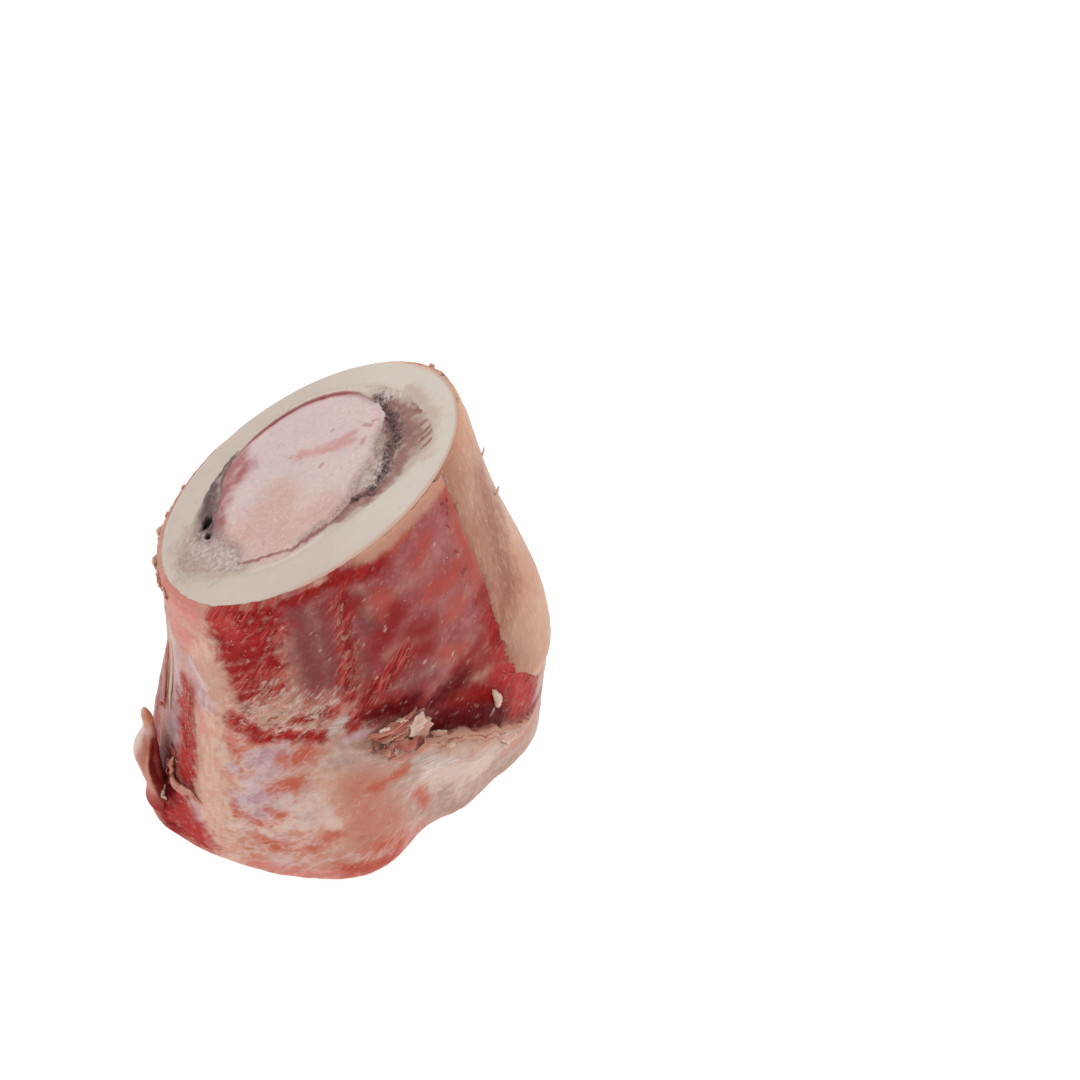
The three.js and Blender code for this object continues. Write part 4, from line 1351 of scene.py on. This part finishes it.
bm = bmesh.new()
bmesh.ops.create_uvsphere(bm, u_segments=flap_round, v_segments=flap_along, radius=1)
spots = np.array([vert.co for vert in bm.verts])
flap_share = 0.5 + np.arcsin(np.clip(spots[:, 2], -1, 1)) / math.pi
flap_turn = np.degrees(np.arctan2(spots[:, 1], spots[:, 0]))
outward_share, sideways_share = np.cos(np.radians(flap_turn)), np.sin(np.radians(flap_turn))
stations = through(flap_stations, flap_share)
outward = np.array([math.cos(math.radians(flap_toward)), math.sin(math.radians(flap_toward)), 0])
sideways = np.array([-outward[1], outward[0], 0])
plump = np.minimum(1, np.hypot(spots[:, 0], spots[:, 1]) / 0.3) ** 0.5
rolled = lumps(np.stack([flap_share * 25, outward_share * 3, spots[:, 1]], -1), 4, 3, 80)
hollow = np.exp(-(((flap_turn - 105) / 34) ** 2) - ((flap_share - 0.5) / 0.2) ** 2)
fold = np.exp(-(((flap_turn - 58) / 10) ** 2) - ((flap_share - 0.52) / 0.16) ** 2)
size = plump * (1 + 0.07 * rolled - 0.42 * hollow + 0.1 * fold)
moved = stations[:, :3] + outward * (stations[:, 4] / 2 * size * outward_share)[:, None]
moved += sideways * (stations[:, 3] / 2 * size * sideways_share)[:, None]
flap = shape("peeled_flap", bm, lambda straight: moved)
paint(flap, "turn", np.abs(turn_from(flap_turn, 110)) / 180)
paint(flap, "height", flap_share)
paint(flap, "lip", fold)
at, shader = finish(flap, "flap_fat", 0.4, (1.8, 0.8, 0.6), 0.08, 0.12, 0.12)
fine = grain(at, 0.4, 3, 0.6)
middling = grain(at, 2, 3)
turn = painted(at, "turn") + (middling - 0.5) * 0.14
height = painted(at, "height") + (middling - 0.5) * 0.06
cream = middling.clipped(0.35, 0.65).mix(tint(186, 132, 118), tint(204, 160, 146))
cream = ((1 - height.clipped(0.12, 0.42)) * 0.9).mix(cream, tint(176, 70, 66))
inside = (1 - turn.clipped(0.2, 0.36)) * height.clipped(0.14, 0.26) * (1 - height.clipped(0.7, 0.78))
tan = (1 - turn.clipped(0.36, 0.6)) * (height.clipped(0.16, 0.34) - height.clipped(0.66, 0.76))
cream = (tan * 0.75).mix(cream, tint(176, 102, 76))
cream = (inside * 0.9).mix(cream, middling.clipped(0.35, 0.65).mix(tint(112, 14, 14), tint(140, 36, 32)))
outside = turn.clipped(0.5, 0.68) * height.clipped(0.3, 0.46) * (1 - height.clipped(0.84, 0.92))
cream = (outside * 0.75).mix(cream, tint(226, 200, 186))
tip_edge = height.clipped(0.8, 0.9) * (1 - turn.clipped(0.2, 0.5))
cream = (tip_edge * 0.75).mix(cream, tint(204, 138, 104))
cream = ((1 - height.clipped(0.04, 0.24)) * 0.9).mix(cream, tint(160, 32, 32))
cream = (painted(at, "lip").clipped(0.3, 0.8) * 0.6).mix(cream, tint(206, 152, 138))
connect(shader, cream, 0.25 + fine * 0.3, fine * 0.4 + middling * 0.6, 0.2)
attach(flap, "root")

# Side fat
# A sheet of smooth leathery fat lies over the right side, thin at its ragged edges. It is peach with a
# fine stipple, darker along its front, partly painted shade, and with a painted grey sheen near its right
# edge.


def bend_fat(straight):
    across_share, up_share, layer = straight[:, 0] + 0.5, straight[:, 1] + 0.5, straight[:, 2]
    rise = fat_rises[0] + (fat_rises[1] - fat_rises[0]) * up_share
    front_edge, back_edge = fat_edges(up_share)
    toward = front_edge + (back_edge - front_edge) * across_share
    spots = as_points(toward * mm_per_degree, rise * map_height)
    wobble = lumps(spots, 3, 3, 60)
    side = np.minimum(across_share, 1 - across_share)
    toward = toward + wobble * 2.2 * ease(1 - side * 6) * np.where(across_share < 0.5, 1, -1)
    # its back is lobed, and its lower front corner is cut off
    lobes = lumps(spots, 11, 3, 65)
    back = ease(across_share * 2 - 1)
    toward = toward + back * (7 * lobes - 9 * (1 - up_share) ** 3)
    rise = rise + (1 - up_share) ** 3 * (0.11 * ease(1 - across_share * 4) + back * (0.05 * lobes + 0.07))
    inside = np.minimum(side * 38, up_share * 20)
    swelling = 0.14 * lumps(spots, 6, 2, 61) + 0.05 * lumps(spots, 1.6, 2, 62)
    top = fat_out(toward, rise) + swelling
    edge = 1.15 + 0.25 * wobble
    top = edge + (top - edge) * ease(inside / 2.2)
    top -= 0.7 * (1 - ease(inside / 0.8)) + 0.4 * ease((rise - 0.98) / 0.018)
    return place(toward, rise, np.where(layer < -0.5, -0.4, np.maximum(top, 0.3)))


bm = bmesh.new()
bmesh.ops.create_grid(bm, x_segments=130, y_segments=170, size=0.5)
bmesh.ops.solidify(bm, geom=bm.faces[:], thickness=1)
low = min(v.co.z for v in bm.verts)
for vert in bm.verts:
    vert.co.z = -1 if vert.co.z < low + 0.5 else 0
bmesh.ops.recalc_face_normals(bm, faces=bm.faces[:])
side_fat = shape("side_fat_sheet", bm, bend_fat)

points = in_mm(side_fat)
rise = points[:, 2] / (cut_middle[2] + cut_slope * (points[:, 0] - cut_middle[0]))
across, up = points[:, 0] - cut_middle[0] * rise**2, points[:, 1] - cut_middle[1] * rise**2
toward = np.degrees(np.arctan2(up, across))
# darker along the fat's front, partly its own colour and partly painted shade; a painted grey sheen near its
# right edge
paint(side_fat, "deep", 1 - ease((toward + 32) / 32) * ease((toward + 42 - 30 * (1 - rise)) / 14))
# each mark: how ragged its edge is, the size of that raggedness, a seed, and its strokes by direction,
# height and half width
fat_marks = {
    # painted sheen: a grey stipple near the right edge, where the wet fat catches the light
    "painted_sheen": (0.8, 2.6, 64, [(15, 62, 17, 38, 6), (6, 57, 9, 50, 2)]),
    "shaded": (0.4, 4, 66, [(-13, 41, -10, 50, 3.4), (-10, 50, -3, 62, 4.6), (-3, 55, 5, 52, 2.6)]),
}
for name, (ragged, size, seed, strokes) in fat_marks.items():
    drawn = []
    for start, low, end, high, half in strokes:
        drawn.append((start * mm_per_degree, low, end * mm_per_degree, high, half))
    paint(side_fat, name, marks(drawn, toward * mm_per_degree, rise * map_height, ragged, size, seed))

at, shader = finish(side_fat, "leathery_fat", 0.4, (2.2, 1.2, 0.7), 0.08, 0.25, 0.12)
fine = grain(at, 0.3, 3, 0.6)
middling = grain(at, 1.6, 3)
broad = grain(at, 11, 2)
brushed = grain(at.node("Mapping", {"vector_type": "TEXTURE"}, {"Vector": at, "Scale": (1, 1, 9)}), 0.7, 4)
peach = broad.clipped(0.35, 0.65).mix(tint(208, 154, 126), tint(216, 170, 145))
peach = (brushed.clipped(0.45, 0.75) * 0.3).mix(peach, tint(188, 126, 98))
# painted shade along the front, over the fat's own deeper colour
peach = (painted(at, "deep") * 0.8).mix(peach, tint(158, 104, 84))
peach = (patch(at, "shaded", middling, 0.6, 0.6) * 0.8).mix(peach, tint(150, 86, 66))
peach = ((1 - brushed).clipped(0.5, 0.7) * 0.3).mix(peach, tint(222, 178, 150))
peach = (fine.clipped(0.52, 0.75) * 0.35).mix(peach, tint(164, 108, 86))
# painted sheen: grey stipple near the right edge
sheen_stipple = fine.clipped(0.45, 0.6).mix(tint(164, 122, 104), tint(218, 196, 184))
peach = (patch(at, "painted_sheen", fine * 0.6 + middling * 0.4, 1.4, 0.45) * 0.6).mix(peach, sheen_stipple)
connect(shader, peach, 0.4 + fine * 0.25, fine * 0.7 + middling * 0.5, 0.22)
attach(side_fat, "root")
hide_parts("side_fat")
